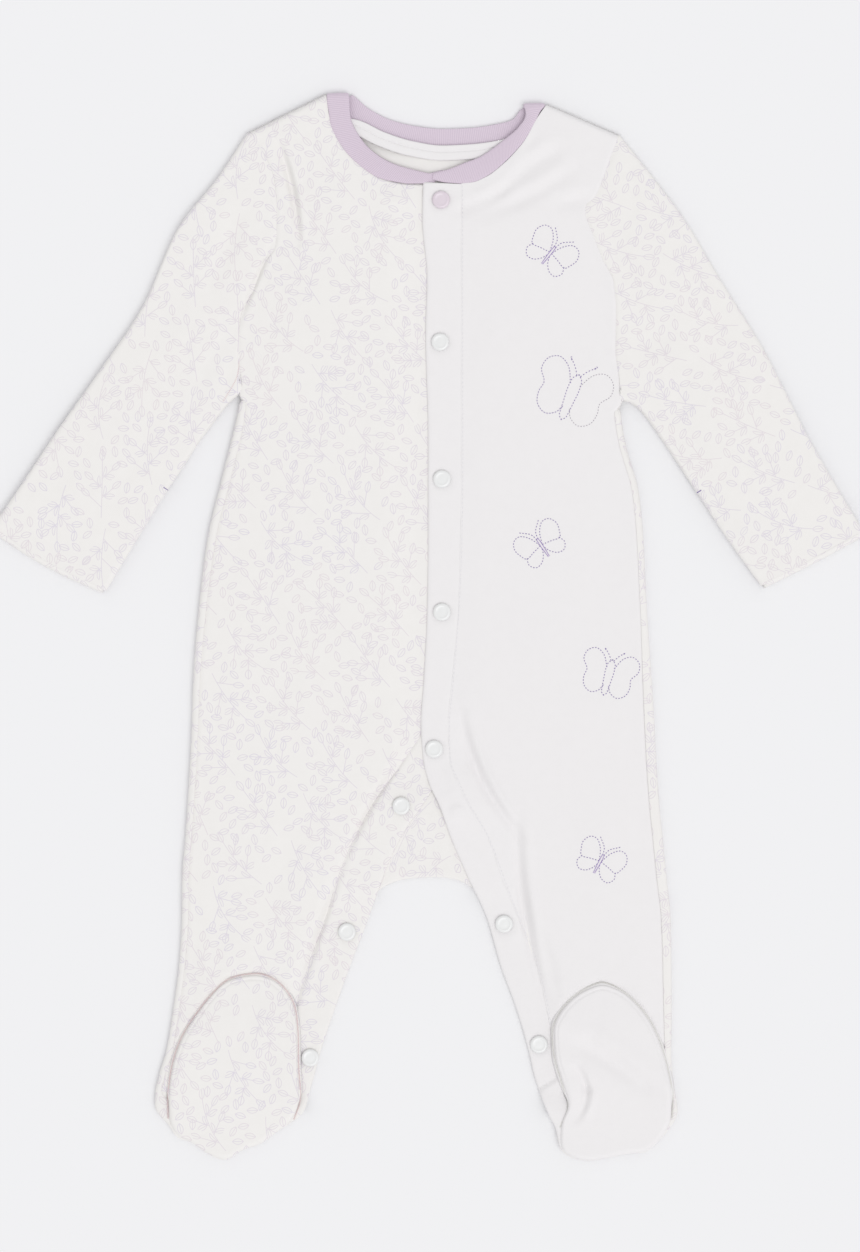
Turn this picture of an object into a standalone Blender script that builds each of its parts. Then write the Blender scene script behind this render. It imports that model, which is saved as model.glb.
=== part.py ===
"""Footed baby sleepsuit for about 3 to 6 months, laid flat on its back.

The feet are folded up on the legs with their soles on top, and the scratch mitts are folded away
under the sleeve ends. +Z is up, +Y runs to the neck and +X to the wearer's left side. The origin is
on the surface that the suit lies on, under the middle of its outline.

Lengths in the tables are in millimetres and become metres in make_piece(). Each piece of cloth is a
wall: its outer face is worked out from sections, its inner face is the outer one moved inward.
"""

import math
from collections import namedtuple

import bpy
import numpy as np

MM = 0.001

# ---- driving sizes, in millimetres ----
CLOTH = 1.5          # wall of a cloth panel with its seam allowances
RIB = 2.0            # doubled rib at the neck
TAPE = 1.2           # tape over the back neck seam
TAPE_WIDTH = 10.5
TAPE_SEAM = 0.6      # the tape starts this far past the neck seam
GAP = 0.3            # between pieces, at seams and between layers
TOP = 5.6            # height of the front above the surface
CROWN = 0.8          # extra height in the middle of a front
FULL_CROWN = 60.0    # a front this wide or more has all of that height
SIDE_RAMP = 14.0     # from the side inward, where a front comes to its full height
SWELL = 12.0         # how far a swelling beside the plackets spreads
ANKLE_TOP = 3.3      # height of a front at an ankle
FRONT_TAIL = 12.0    # a front runs on this far past the ankle, under the foot
EDGE_ROLL = 2.6      # radius at which a shoulder, sleeve or foot edge rounds off
FLAT_INSET = 14.0    # strip of the back that rolls up at a side, laid flat beside an armhole
ANKLE_INSET = 6.0    # the same strip laid flat at an ankle
SHOULDER_SEAM = 3.0  # height of the shoulder seam
NECK_TOP = 5.6       # top of the rib at the front of the neck
CROTCH_TURN = 1.65   # radius of the fold where the crotch turns up
SHOULDER_ROOM = 1.8  # further gap of a sleeve from the body where both round off
FOOT_UNDER = 3.6     # underside of a folded-up foot
FOOT_SEAM = 5.6      # height of the instep at its seam with the sole
FOOT_TOP = 9.0       # top of a sole
HEEL_RIM = 3.9       # height of the back's turned-up heel edge
FOOT_PRESS = 5.0     # a front stays low this far round a folded-up foot
PRESS_RAMP = 10.0    # and rises again over this length
FEET_FROM = -150.0   # the folded-up feet press on the fronts below this level
SOLE_DROP = 1.2      # a sole is this much lower at the heel
SOLE_DROP_FROM = -250.0
SOLE_DROP_OVER = 40.0
DOME_RIM = 7.0       # width of the outer rings of a sole or an instep
LOW_ROLL = 3.5       # a side roll no higher than this runs out towards the ankle
ANKLE_ROOM = 1.6     # further room there for a front's edge
ANKLE_SIDE = 5.0     # inset of a front's side edge at the ankle, where nothing rolls up
ARMHOLE_BEND = 60.0  # from the armhole, where a sleeve loses the armhole's bend
HEM_BEND = 25.0      # from the hem, where a sleeve takes up its bow
MITT_INSET = 1.2     # a mitt is this much narrower than its sleeve, at each side
MITT_DROP = 0.4      # a mitt's fold reaches this far past the hem
CAP_RADIUS = 4.95
CAP_HEIGHT = 1.7
CAP_SIDE = 0.9       # height of a cap's upright edge
CAP_SLOPE = 1.2      # how far its rounded edge reaches in

Half = namedtuple("Half", "side_x side_y seam_x seam_y edge_z flat rise puff turn wrap height")
# One row for each section of a front, from the shoulder seam to the ankle.
# side: armhole and then the side fold; seam: neck seam and then placket seam; edge_z: top at that seam;
# flat, rise, puff: how far the front stays low beside the seam, over what length it climbs, how much
# higher than TOP it swells there; turn, wrap, height: how far the back's side rolls up, and how
# far and how high it reaches over the front.
RIGHT = [
    Half(-101.4, 276.1, -57.2, 298.2, 5.5, 0, 6, 0.0, 0, 0.0, 5.6),
    Half(-92.4, 265.4, -55.0, 284.0, 5.5, 0, 6, 0.0, 0, 0.0, 5.6),
    Half(-86.8, 252.6, -49.5, 270.5, 5.5, 0, 6, 0.0, 0, 0.0, 5.6),
    Half(-85.0, 240.0, -39.5, 259.0, 5.5, 0, 6, 0.0, 0, 0.0, 5.6),
    Half(-84.6, 228.0, -25.5, 250.4, 4.9, 0, 8, 0.0, 0, 0.0, 5.6),
    Half(-85.2, 214.0, -12.0, 247.8, 4.2, 0, 12, 0.0, 0, 0.0, 5.6),
    Half(-92.0, 203.0, 2.0, 247.3, 3.3, 6, 14, 0.0, 0, 0.0, 5.6),
    Half(-97.4, 189.0, 2.0, 228.0, 3.3, 6, 14, 0.0, 0, 0.0, 5.6),
    Half(-105.0, 172.5, 2.0, 195.0, 3.3, 6, 14, 0.0, 0, 0.0, 5.6),
    Half(-106.4, 154.0, 2.0, 165.0, 3.3, 6, 14, 0.0, 0, 0.0, 5.6),
    Half(-105.3, 134.4, 2.0, 140.0, 3.3, 6, 14, 0.0, 0, 0.0, 5.6),
    Half(-106.0, 124.0, 2.0, 125.0, 3.3, 6, 14, 0.0, 1, 1.2, 5.6),
    Half(-110.3, 104.2, 2.0, 104.0, 3.3, 6, 14, 0.0, 1, 2.4, 5.6),
    Half(-117.5, 75.0, 2.0, 75.0, 3.3, 6, 14, 0.0, 1, 2.4, 5.6),
    Half(-123.2, 51.5, 2.0, 48.0, 3.3, 6, 14, 0.0, 1, 2.2, 5.6),
    Half(-128.2, 12.3, 2.0, 12.0, 3.3, 6, 14, 0.0, 1, 1.6, 5.6),
    Half(-131.6, -29.7, 2.0, -26.0, 3.3, 6, 14, 0.0, 1, 1.2, 5.6),
    Half(-132.4, -55.0, -1.5, -55.0, 3.3, 5, 10, 0.4, 1, 1.0, 5.6),
    Half(-133.3, -74.0, -12.5, -74.0, 3.3, 0, 6, 0.8, 1, 1.0, 5.6),
    Half(-134.1, -88.0, -22.5, -88.0, 3.7, 0, 5, 0.8, 1, 1.0, 5.6),
    Half(-134.8, -100.0, -31.0, -100.0, 5.1, 0, 5, 0.9, 1, 1.0, 5.6),
    Half(-136.0, -118.0, -40.8, -118.0, 5.1, 0, 5, 0.9, 1, 1.0, 5.6),
    Half(-137.8, -141.0, -50.4, -140.6, 5.1, 0, 5, 0.8, 1, 1.0, 5.6),
    Half(-138.0, -165.0, -57.5, -164.0, 3.4, 0, 5, 0.7, 1, 1.0, 5.4),
    Half(-139.6, -190.0, -67.0, -190.0, 3.3, 0, 6, 0.4, 1, 1.0, 4.8),
    Half(-143.0, -216.0, -74.0, -214.0, 3.3, 0, 8, 0.0, 1, 1.0, 4.2),
    Half(-147.0, -239.0, -78.5, -238.0, 3.3, 0, 8, 0.0, 1, 1.2, 3.6),
    Half(-150.4, -250.0, -80.0, -250.0, 3.3, 0, 8, 0.0, 1, 1.2, 3.3),
    Half(-152.8, -260.0, -80.5, -260.0, 3.3, 0, 8, 0.0, 0, 0.0, 3.3),
]
LEFT = [
    Half(107.5, 275.0, 66.6, 292.4, 5.5, 0, 6, 0.0, 0, 0.0, 5.6),
    Half(102.5, 263.2, 60.8, 284.0, 5.5, 0, 6, 0.0, 0, 0.0, 5.6),
    Half(97.8, 250.0, 54.5, 272.5, 5.5, 0, 6, 0.0, 0, 0.0, 5.6),
    Half(94.0, 241.0, 43.5, 260.0, 5.5, 0, 6, 0.0, 0, 0.0, 5.6),
    Half(88.2, 232.0, 33.0, 251.8, 5.5, 0, 6, 0.0, 0, 0.0, 5.6),
    Half(92.5, 219.0, 25.5, 248.6, 5.5, 0, 6, 0.0, 0, 0.0, 5.6),
    Half(98.0, 205.0, 18.5, 247.5, 5.5, 0, 8, 0.0, 0, 0.0, 5.6),
    Half(103.8, 193.0, 18.5, 228.0, 5.3, 0, 8, 0.0, 0, 0.0, 5.6),
    Half(105.3, 176.0, 18.5, 195.0, 5.1, 0, 8, 0.0, 0, 0.0, 5.6),
    Half(105.0, 155.0, 18.5, 165.0, 5.1, 0, 8, 0.0, 0, 0.0, 5.6),
    Half(108.1, 129.0, 18.5, 140.0, 5.1, 0, 8, 0.0, 0, 0.0, 5.6),
    Half(108.3, 119.0, 18.5, 124.0, 5.1, 0, 8, 0.0, 1, 1.0, 5.6),
    Half(110.6, 103.0, 18.5, 104.0, 5.1, 0, 8, 0.0, 1, 1.0, 5.6),
    Half(118.2, 75.0, 18.5, 75.0, 5.1, 0, 8, 0.0, 1, 1.0, 5.6),
    Half(120.7, 50.0, 18.0, 48.0, 5.1, 0, 8, 0.0, 1, 1.0, 5.6),
    Half(122.6, 12.0, 17.0, 12.0, 5.1, 0, 8, 0.0, 1, 1.0, 5.6),
    Half(125.4, -29.7, 13.4, -30.0, 5.1, 0, 8, 0.0, 1, 2.4, 5.6),
    Half(127.0, -55.0, 11.2, -54.0, 5.1, 2, 8, 0.2, 1, 3.0, 5.6),
    Half(127.9, -74.0, 11.8, -74.0, 5.1, 6, 8, 0.5, 1, 3.0, 5.6),
    Half(128.8, -88.0, 16.5, -88.0, 6.1, 6, 8, 0.8, 1, 3.0, 5.6),
    Half(129.7, -100.0, 22.5, -100.0, 6.4, 6, 8, 0.8, 1, 3.0, 5.6),
    Half(131.5, -118.0, 33.2, -118.0, 5.4, 6, 7, 0.9, 1, 3.0, 5.6),
    Half(133.8, -141.0, 41.2, -141.0, 5.1, 6, 6, 0.9, 1, 3.0, 5.6),
    Half(136.1, -165.0, 50.7, -164.0, 3.7, 5, 6, 0.7, 1, 2.8, 5.4),
    Half(136.5, -190.0, 60.6, -190.0, 3.3, 5, 6, 0.3, 1, 2.6, 4.8),
    Half(136.6, -216.0, 66.5, -215.0, 3.3, 0, 8, 0.0, 1, 2.2, 4.0),
    Half(136.4, -239.0, 70.5, -238.0, 3.3, 0, 8, 0.0, 1, 1.4, 3.3),
    Half(137.0, -250.0, 72.8, -249.0, 3.3, 0, 8, 0.0, 1, 1.2, 3.3),
    Half(138.4, -260.0, 75.5, -260.0, 3.3, 0, 8, 0.0, 0, 0.0, 3.3),
]
NECK_CORNER = 6      # the row at the centre-front end of the neck seam
CROTCH = 22          # the row at the crotch fold
ANKLE = 28           # the last full row of a leg

Edge = namedtuple("Edge", "x y base")
# Free edge of each placket, one row for each panel section from NECK_CORNER down, and the height
# of the strip's underside there.
PLACKET_RIGHT = [
    Edge(19.0, 247.0, 1.8), Edge(19.5, 228.0, 1.8), Edge(19.5, 195.0, 1.8), Edge(19.5, 165.0, 1.8),
    Edge(19.5, 140.0, 1.8), Edge(19.5, 125.0, 1.8), Edge(19.5, 104.0, 1.8), Edge(19.5, 75.0, 1.8),
    Edge(19.5, 48.0, 1.8), Edge(19.5, 12.0, 1.8), Edge(19.5, -26.0, 1.8), Edge(19.0, -52.0, 1.8),
    Edge(14.5, -73.0, 1.8), Edge(5.5, -88.0, 2.2), Edge(-3.5, -101.0, 3.6), Edge(-15.0, -118.0, 3.6),
    Edge(-25.2, -141.0, 3.6), Edge(-33.0, -163.0, 1.9), Edge(-43.0, -189.0, 1.8),
    Edge(-52.0, -214.0, 1.8), Edge(-60.0, -238.0, 1.8), Edge(-63.2, -250.0, 1.8),
    Edge(-66.0, -260.0, 1.8),
]
PLACKET_LEFT = [
    Edge(-2.8, 248.6, 4.0), Edge(-3.2, 228.0, 3.8), Edge(-0.6, 195.0, 3.6), Edge(-1.4, 165.0, 3.6),
    Edge(-0.9, 140.0, 3.6), Edge(-0.3, 124.0, 3.6), Edge(0.0, 104.0, 3.6), Edge(0.0, 75.0, 3.6),
    Edge(0.0, 48.0, 3.6), Edge(-0.4, 12.0, 3.6), Edge(-2.4, -30.0, 3.6), Edge(-4.0, -54.0, 3.6),
    Edge(-2.8, -74.0, 3.6), Edge(0.5, -88.0, 4.6), Edge(6.2, -100.2, 4.9), Edge(12.5, -118.0, 3.9),
    Edge(21.5, -139.0, 3.6), Edge(33.0, -164.0, 2.2), Edge(40.5, -190.0, 1.8),
    Edge(49.6, -215.0, 1.8), Edge(56.6, -239.0, 1.8), Edge(59.0, -250.0, 1.8),
    Edge(62.0, -260.0, 1.8),
]

Span = namedtuple("Span", "seam_x seam_y free_x free_y")
# The rib, across the strip, at the same sections of the neck seam as the fronts.
RIB_RIGHT = [
    Span(-55.4, 298.5, -44.2, 298.8), Span(-54.7, 284.0, -43.4, 285.5), Span(-49.2, 270.8, -37.8, 273.5),
    Span(-39.3, 259.4, -30.0, 265.2), Span(-25.4, 250.8, -18.5, 258.7), Span(-12.0, 248.2, -7.3, 255.4),
]
RIB_RIGHT_END = Span(-3.6, 248.2, 1.2, 253.4)
RIB_LEFT = [
    Span(64.2, 293.0, 53.4, 292.9), Span(60.4, 284.2, 54.6, 286.6), Span(54.2, 272.8, 50.6, 279.4),
    Span(43.2, 260.4, 42.8, 272.6), Span(32.8, 252.2, 34.6, 266.4), Span(25.4, 249.0, 28.6, 262.6),
    Span(18.4, 248.1, 21.3, 259.8),
]
RIB_LEFT_ENDS = [Span(9.0, 248.9, 11.8, 255.9), Span(2.0, 250.6, 2.6, 253.6)]
# The back of the neck, from the wearer's right shoulder fold to the left one.
RIB_BACK = [
    Span(-56.0, 295.8, -44.4, 296.2), Span(-53.0, 289.8, -43.6, 297.0), Span(-46.5, 286.4, -42.4, 297.8),
    Span(-37.0, 283.8, -33.5, 290.2), Span(-24.0, 277.6, -20.5, 283.6), Span(-8.0, 272.6, -6.5, 280.2),
    Span(8.0, 270.3, 8.0, 278.7), Span(24.0, 271.0, 23.0, 279.2), Span(39.0, 273.0, 37.5, 281.2),
    Span(50.0, 276.5, 47.5, 284.0), Span(58.0, 281.6, 51.5, 289.0), Span(65.0, 290.3, 53.4, 290.4),
]

Sleeve = namedtuple("Sleeve", "under_x under_y outer_x outer_y height lift")
SLEEVE_RIGHT = [
    Sleeve(-105.3, 134.4, -101.4, 276.1, 5.6, 0.0), Sleeve(-111.0, 126.0, -118.5, 250.5, 6.0, 0.0),
    Sleeve(-119.0, 115.0, -139.4, 224.0, 6.4, 0.0), Sleeve(-128.0, 103.0, -160.0, 179.0, 6.4, 0.0),
    Sleeve(-137.0, 89.0, -184.0, 143.0, 6.2, 0.6), Sleeve(-145.6, 76.2, -207.0, 110.5, 4.9, 1.8),
    Sleeve(-163.0, 48.0, -226.0, 82.0, 4.9, 1.8), Sleeve(-180.3, 19.6, -244.4, 54.9, 4.4, 1.8),
]
SLEEVE_LEFT = [
    Sleeve(108.1, 129.0, 107.5, 275.0, 5.6, 0.0), Sleeve(114.5, 125.5, 125.0, 253.0, 6.0, 0.0),
    Sleeve(122.0, 117.0, 142.2, 230.2, 6.4, 0.0), Sleeve(131.5, 103.5, 164.0, 194.0, 6.4, 0.0),
    Sleeve(141.5, 88.5, 187.5, 156.0, 6.2, 0.6), Sleeve(150.6, 74.5, 211.0, 109.8, 4.9, 1.8),
    Sleeve(168.5, 47.5, 229.0, 78.0, 4.9, 1.8), Sleeve(186.5, 22.4, 244.4, 52.6, 4.4, 1.8),
]
HEM_BOW = {"right": 2.5, "left": 0.6}   # how far the middle of a sleeve end reaches past its corners

Point = namedtuple("Point", "x y")
# Heel edges, from the outer corner of the ankle round to the inner one.
HEEL_RIGHT = [
    Point(-152.6, -271.0), Point(-145.2, -280.0), Point(-140.5, -286.6), Point(-132.0, -289.6),
    Point(-123.5, -295.8), Point(-113.5, -299.2), Point(-104.0, -293.6), Point(-93.5, -290.0),
    Point(-84.0, -283.0), Point(-76.0, -277.8), Point(-69.8, -272.5),
]
HEEL_LEFT = [
    Point(139.8, -273.5), Point(134.6, -282.4), Point(129.0, -288.8), Point(121.5, -294.8),
    Point(111.0, -295.9), Point(101.0, -297.9), Point(90.0, -299.6), Point(80.5, -297.8),
    Point(73.6, -292.0), Point(71.6, -282.0), Point(67.6, -274.0),
]
Rim = namedtuple("Rim", "x y z")
# Seam round each sole, from the toe outward and round the heel. z is the height of the seam.
SOLE_RIGHT = [
    Rim(-97.0, -195.4, 6.6), Rim(-110.9, -198.2, 6.6), Rim(-121.0, -207.0, 6.6), Rim(-131.0, -220.0, 6.6),
    Rim(-138.0, -232.0, 6.6), Rim(-142.6, -246.0, 6.6), Rim(-144.8, -261.5, 6.6), Rim(-144.9, -275.0, 5.4),
    Rim(-140.0, -285.6, 4.8), Rim(-132.0, -289.4, 4.7), Rim(-123.5, -295.5, 4.7), Rim(-113.5, -298.9, 4.7),
    Rim(-104.0, -293.4, 4.7), Rim(-93.5, -289.8, 4.7), Rim(-84.0, -282.8, 4.8), Rim(-75.6, -275.5, 5.4),
    Rim(-72.2, -264.0, 6.6), Rim(-73.2, -247.0, 6.6), Rim(-73.4, -228.0, 6.6), Rim(-75.2, -213.5, 6.6),
    Rim(-80.4, -203.8, 6.6), Rim(-88.0, -197.6, 6.6),
]
SOLE_LEFT = [
    Rim(97.4, -200.5, 6.6), Rim(108.0, -204.6, 6.6), Rim(117.0, -212.4, 6.6), Rim(124.2, -222.0, 6.6),
    Rim(129.6, -234.0, 6.6), Rim(133.6, -248.0, 6.6), Rim(136.2, -262.0, 6.6), Rim(136.0, -275.0, 5.4),
    Rim(129.2, -288.2, 4.8), Rim(121.5, -294.4, 4.7), Rim(111.0, -295.6, 4.7), Rim(101.0, -297.6, 4.7),
    Rim(90.0, -299.3, 4.7), Rim(80.8, -297.4, 4.7), Rim(74.2, -291.6, 4.8), Rim(74.4, -280.0, 5.2),
    Rim(79.0, -268.0, 6.6), Rim(75.4, -255.0, 6.6), Rim(71.4, -241.0, 6.6), Rim(70.6, -225.0, 6.6),
    Rim(77.0, -213.0, 6.6), Rim(86.5, -205.0, 6.6),
]
ARCH_ROWS = 7        # rims from the toe down each side that the instep shares with the sole
SOLE_CENTRE = {"right": (-108.0, -247.0), "left": (103.0, -249.0)}

Fold = namedtuple("Fold", "x0 y0 x1 y1 width depth")
# The largest folds: middle line from one end to the other, width, and depth (minus for a ridge).
FRONT_FOLDS = [
    Fold(14.0, 232.0, 40.0, 244.0, 9.0, 0.9), Fold(40.0, 244.0, 70.0, 263.0, 10.0, 1.0),
    Fold(30.0, 231.0, 52.0, 241.0, 9.0, 0.7), Fold(52.0, 241.0, 82.0, 256.0, 10.0, 0.6),
    Fold(-83.0, 268.0, -74.0, 246.0, 9.0, 0.7), Fold(-74.0, 246.0, -72.0, 219.0, 10.0, 0.6),
    Fold(74.0, 237.0, 88.0, 237.0, 10.0, 0.8),
]
SLEEVE_FOLDS = [
    Fold(99.0, 230.0, 128.0, 160.0, 16.0, 0.9), Fold(128.0, 160.0, 163.0, 62.0, 18.0, 0.8),
    Fold(-106.0, 228.0, -120.0, 190.0, 14.0, 0.7),
]
SOLE_FOLDS = [
    Fold(83.0, -249.0, 88.5, -258.0, 7.0, 0.9), Fold(88.5, -258.0, 84.0, -274.0, 7.0, 0.9),
    Fold(93.0, -236.0, 122.0, -258.0, 12.0, 0.5),
]

CROTCH_LEFT_X, CROTCH_LEFT_Y = 21.0, -138.2      # ends of the crotch fold
CROTCH_RIGHT_X, CROTCH_RIGHT_Y = -25.2, -140.6
Tongue = namedtuple("Tongue", "right left y")
# The crotch turned up on the front of the back, from the fold up to its end under the plackets.
TONGUE = [
    Tongue(-24.5, 20.0, -130.0), Tongue(-19.5, 17.0, -118.0), Tongue(-13.0, 13.0, -106.0),
    Tongue(-9.0, 11.5, -100.6),
]

Snap = namedtuple("Snap", "name x y tint")
SNAPS = [
    Snap("snap_cap_neck", 7.3, 238.6, "lilac"),
    Snap("snap_cap_body_1", 6.8, 159.0, "white"),
    Snap("snap_cap_body_2", 7.8, 82.3, "white"),
    Snap("snap_cap_body_3", 7.8, 7.8, "white"),
    Snap("snap_cap_body_4", 3.4, -68.9, "white"),
    Snap("snap_cap_leg_right_1", -15.0, -100.8, "white"),
    Snap("snap_cap_leg_right_2", -45.4, -171.4, "white"),
    Snap("snap_cap_leg_right_3", -66.0, -241.9, "white"),
    Snap("snap_cap_leg_left_1", 16.8, -104.7, "white"),
    Snap("snap_cap_leg_left_2", 42.6, -166.9, "white"),
    Snap("snap_cap_leg_left_3", 62.2, -234.5, "white"),
]

PRINTED = ("printed_interlock", (0.86, 0.84, 0.83), 0.9)
PLAIN = ("plain_interlock", (0.89, 0.88, 0.89), 0.9)
LILAC_RIB = ("lilac_rib", (0.66, 0.59, 0.70), 0.9)
WHITE_CAP = ("white_snap", (0.88, 0.88, 0.89), 0.3)
LILAC_CAP = ("lilac_snap", (0.68, 0.57, 0.72), 0.3)


# ---- curves and sections ----
def along(table, stations):
    """Rows of a table at whole and fractional row numbers, without overshoot between the rows."""
    rows = np.array(table, float)
    step = np.linalg.norm(np.diff(rows[:, :2], axis=0), axis=1)
    knot = np.concatenate([[0.0], np.cumsum(np.maximum(step, 0.01))])
    slope = np.diff(rows, axis=0) / np.diff(knot)[:, None]
    tangent = np.zeros_like(rows)
    tangent[0] = slope[0]
    tangent[-1] = slope[-1]
    before, after = slope[:-1], slope[1:]
    same = before * after > 0
    total = np.where(same, before + after, 1.0)
    tangent[1:-1] = np.where(same, 2 * before * after / total, 0.0)
    out = []
    for station in stations:
        k = min(int(station), len(rows) - 2)
        width = knot[k + 1] - knot[k]
        t = station - k
        out.append(
            rows[k] * (1 + 2 * t) * (1 - t) ** 2
            + tangent[k] * width * t * (1 - t) ** 2
            + rows[k + 1] * t * t * (3 - 2 * t)
            + tangent[k + 1] * width * t * t * (t - 1)
        )
    return np.array(out)


def evenly(points, count):
    """count points spaced evenly by length along a smooth line through the points."""
    fine = along(points, np.linspace(0, len(points) - 1, 40 * len(points)))
    reach = np.concatenate([[0.0], np.cumsum(np.linalg.norm(np.diff(fine[:, :2], axis=0), axis=1))])
    wanted = np.linspace(0, reach[-1], count)
    return np.stack([np.interp(wanted, reach, column) for column in fine.T], axis=1)


def ease(t):
    """0 to 1 with level ends."""
    t = np.clip(t, 0.0, 1.0)
    return t * t * (3 - 2 * t)


def rounded(distance, radius):
    """0 at an edge, 1 from one radius inward, along a quarter circle."""
    t = np.clip(1 - distance / radius, 0.0, 1.0)
    return np.sqrt(1 - t * t)


def creased(x, y, folds):
    """How far the folds lower a surface at a place."""
    drop = 0.0
    for fold in folds:
        dx, dy = fold.x1 - fold.x0, fold.y1 - fold.y0
        length = math.hypot(dx, dy)
        t = ((x - fold.x0) * dx + (y - fold.y0) * dy) / length**2
        aside = abs((x - fold.x0) * dy - (y - fold.y0) * dx) / length
        beyond = max(0.0, -t, t - 1) * length
        near = math.hypot(aside, beyond) / fold.width
        drop += fold.depth * math.exp(-4 * near * near)
    return drop


def outside(x, y, loop):
    """Distance from a closed outline, 0 inside it."""
    a = np.array([[p.x, p.y] for p in loop])
    b = np.roll(a, -1, axis=0)
    across = (a[:, 1] > y) != (b[:, 1] > y)
    rise = np.where(b[:, 1] == a[:, 1], 1.0, b[:, 1] - a[:, 1])
    hits = across & (x < a[:, 0] + (y - a[:, 1]) * (b[:, 0] - a[:, 0]) / rise)
    if hits.sum() % 2:
        return 0.0
    edge = b - a
    t = np.clip(((x - a[:, 0]) * edge[:, 0] + (y - a[:, 1]) * edge[:, 1]) / (edge**2).sum(1), 0, 1)
    near = a + edge * t[:, None]
    return float(np.hypot(near[:, 0] - x, near[:, 1] - y).min())


# ---- walls ----
class Cloth:
    """Quads of an outer face, welded where grids share points."""

    def __init__(self):
        self.points = []
        self.faces = []
        self.index = {}
        self.level_edge = []

    def point(self, p):
        key = tuple(round(float(c), 4) for c in p)
        if key not in self.index:
            self.index[key] = len(self.points)
            self.points.append(key)
        return self.index[key]

    def grid(self, rows, closed=False, flip=False):
        ids = [[self.point(p) for p in row] for row in rows]
        for upper, lower in zip(ids, ids[1:]):
            count = len(upper)
            for k in range(count if closed else count - 1):
                n = (k + 1) % count
                self.face([upper[k], lower[k], lower[n], upper[n]], flip)

    def fan(self, ring, centre, flip=False):
        hub = self.point(centre)
        ids = [self.point(p) for p in ring]
        for k, a in enumerate(ids):
            self.face([a, hub, ids[(k + 1) % len(ids)]], flip)

    def face(self, corners, flip):
        corners = [c for k, c in enumerate(corners) if c != corners[k - 1]]
        if len(corners) > 2:
            self.faces.append(corners[::-1] if flip else corners)

    def wall(self, thickness):
        """The outer face, the same face moved inward, and the rims between them."""
        points = np.array(self.points)
        normal = np.zeros_like(points)
        uses = {}
        for corners in self.faces:
            ring = points[corners]
            area = np.zeros(3)
            for k in range(len(ring)):
                area += np.cross(ring[k - 1], ring[k])
            normal[corners] += area / max(np.linalg.norm(area), 1e-9)
            for k, corner in enumerate(corners):
                uses[(corners[k - 1], corner)] = True
        normal[self.level_edge, 2] *= 0.02
        normal /= np.maximum(np.linalg.norm(normal, axis=1), 1e-9)[:, None]
        inner = points - normal * thickness
        count = len(points)
        faces = list(self.faces)
        faces += [[c + count for c in reversed(corners)] for corners in self.faces]
        faces += [[a, a + count, b + count, b] for a, b in uses if (b, a) not in uses]
        return np.vstack([points, inner]), faces


def make_piece(name, points, faces, finish):
    label, colour, roughness = finish
    mesh = bpy.data.meshes.new(name)
    mesh.from_pydata([tuple(float(c) * MM for c in p) for p in points], [], faces)
    mesh.update()
    material = bpy.data.materials.get(label)
    if material is None:
        material = bpy.data.materials.new(label)
        material.use_nodes = True
        shader = material.node_tree.nodes["Principled BSDF"]
        shader.inputs["Base Color"].default_value = (*colour, 1.0)
        shader.inputs["Roughness"].default_value = roughness
    mesh.materials.append(material)
    mesh.shade_smooth()
    piece = bpy.data.objects.new(name, mesh)
    bpy.context.scene.collection.objects.link(piece)
    return piece


# ---- shared sections ----
SEWN_ROWS = [0, 0.06, 0.2, 1, 1.5, 2, 2.5, 3, 3.5, 4, 4.5, 5, 6, 7, 8, 9, 9.86, 10]
BODY_ROWS = SEWN_ROWS + [10.6, 11, *range(12, 25), 24.4, 24.75, 25, 25.5, 26, 27, ANKLE]
ACROSS = [0, 0.055, 0.12, 0.2, 0.34, 0.52, 0.72, 0.88, 1]


def sections(half, stations=BODY_ROWS):
    return [Half(*row) for row in along(half, stations)]


def front_edge_inset(row):
    """How far a front's side edge lies inside the outline of the body."""
    room = GAP if row.height > LOW_ROLL else ANKLE_ROOM
    rolled = row.height / 2 + row.wrap + room
    return row.turn * rolled + (1 - row.turn) * (0.0 if row.side_y > 0 else ANKLE_SIDE)


def front_height(x, y, row, from_seam, from_side, sole):
    """Top of a front: low beside the seam, swelling, and level with the side roll at the side."""
    middle = math.sin(math.pi * np.clip(from_seam / (from_seam + from_side + 1e-6), 0, 1))
    full = TOP + CROWN * middle * min(1.0, (from_seam + from_side) / FULL_CROWN)
    swell = row.puff * math.exp(-(((from_seam - row.flat - row.rise) / SWELL) ** 2))
    level = row.height * row.turn + (1 - row.turn) * (TOP if y > 0 else ANKLE_TOP)
    z = level + (full + swell - level) * ease(from_side / SIDE_RAMP)
    z = row.edge_z + (z - row.edge_z) * ease((from_seam - row.flat) / row.rise)
    z -= creased(x, y, FRONT_FOLDS)
    if y < FEET_FROM:
        pressed = FOOT_UNDER - GAP
        z = pressed + (z - pressed) * ease((outside(x, y, sole) - FOOT_PRESS) / PRESS_RAMP)
    return z


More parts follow.
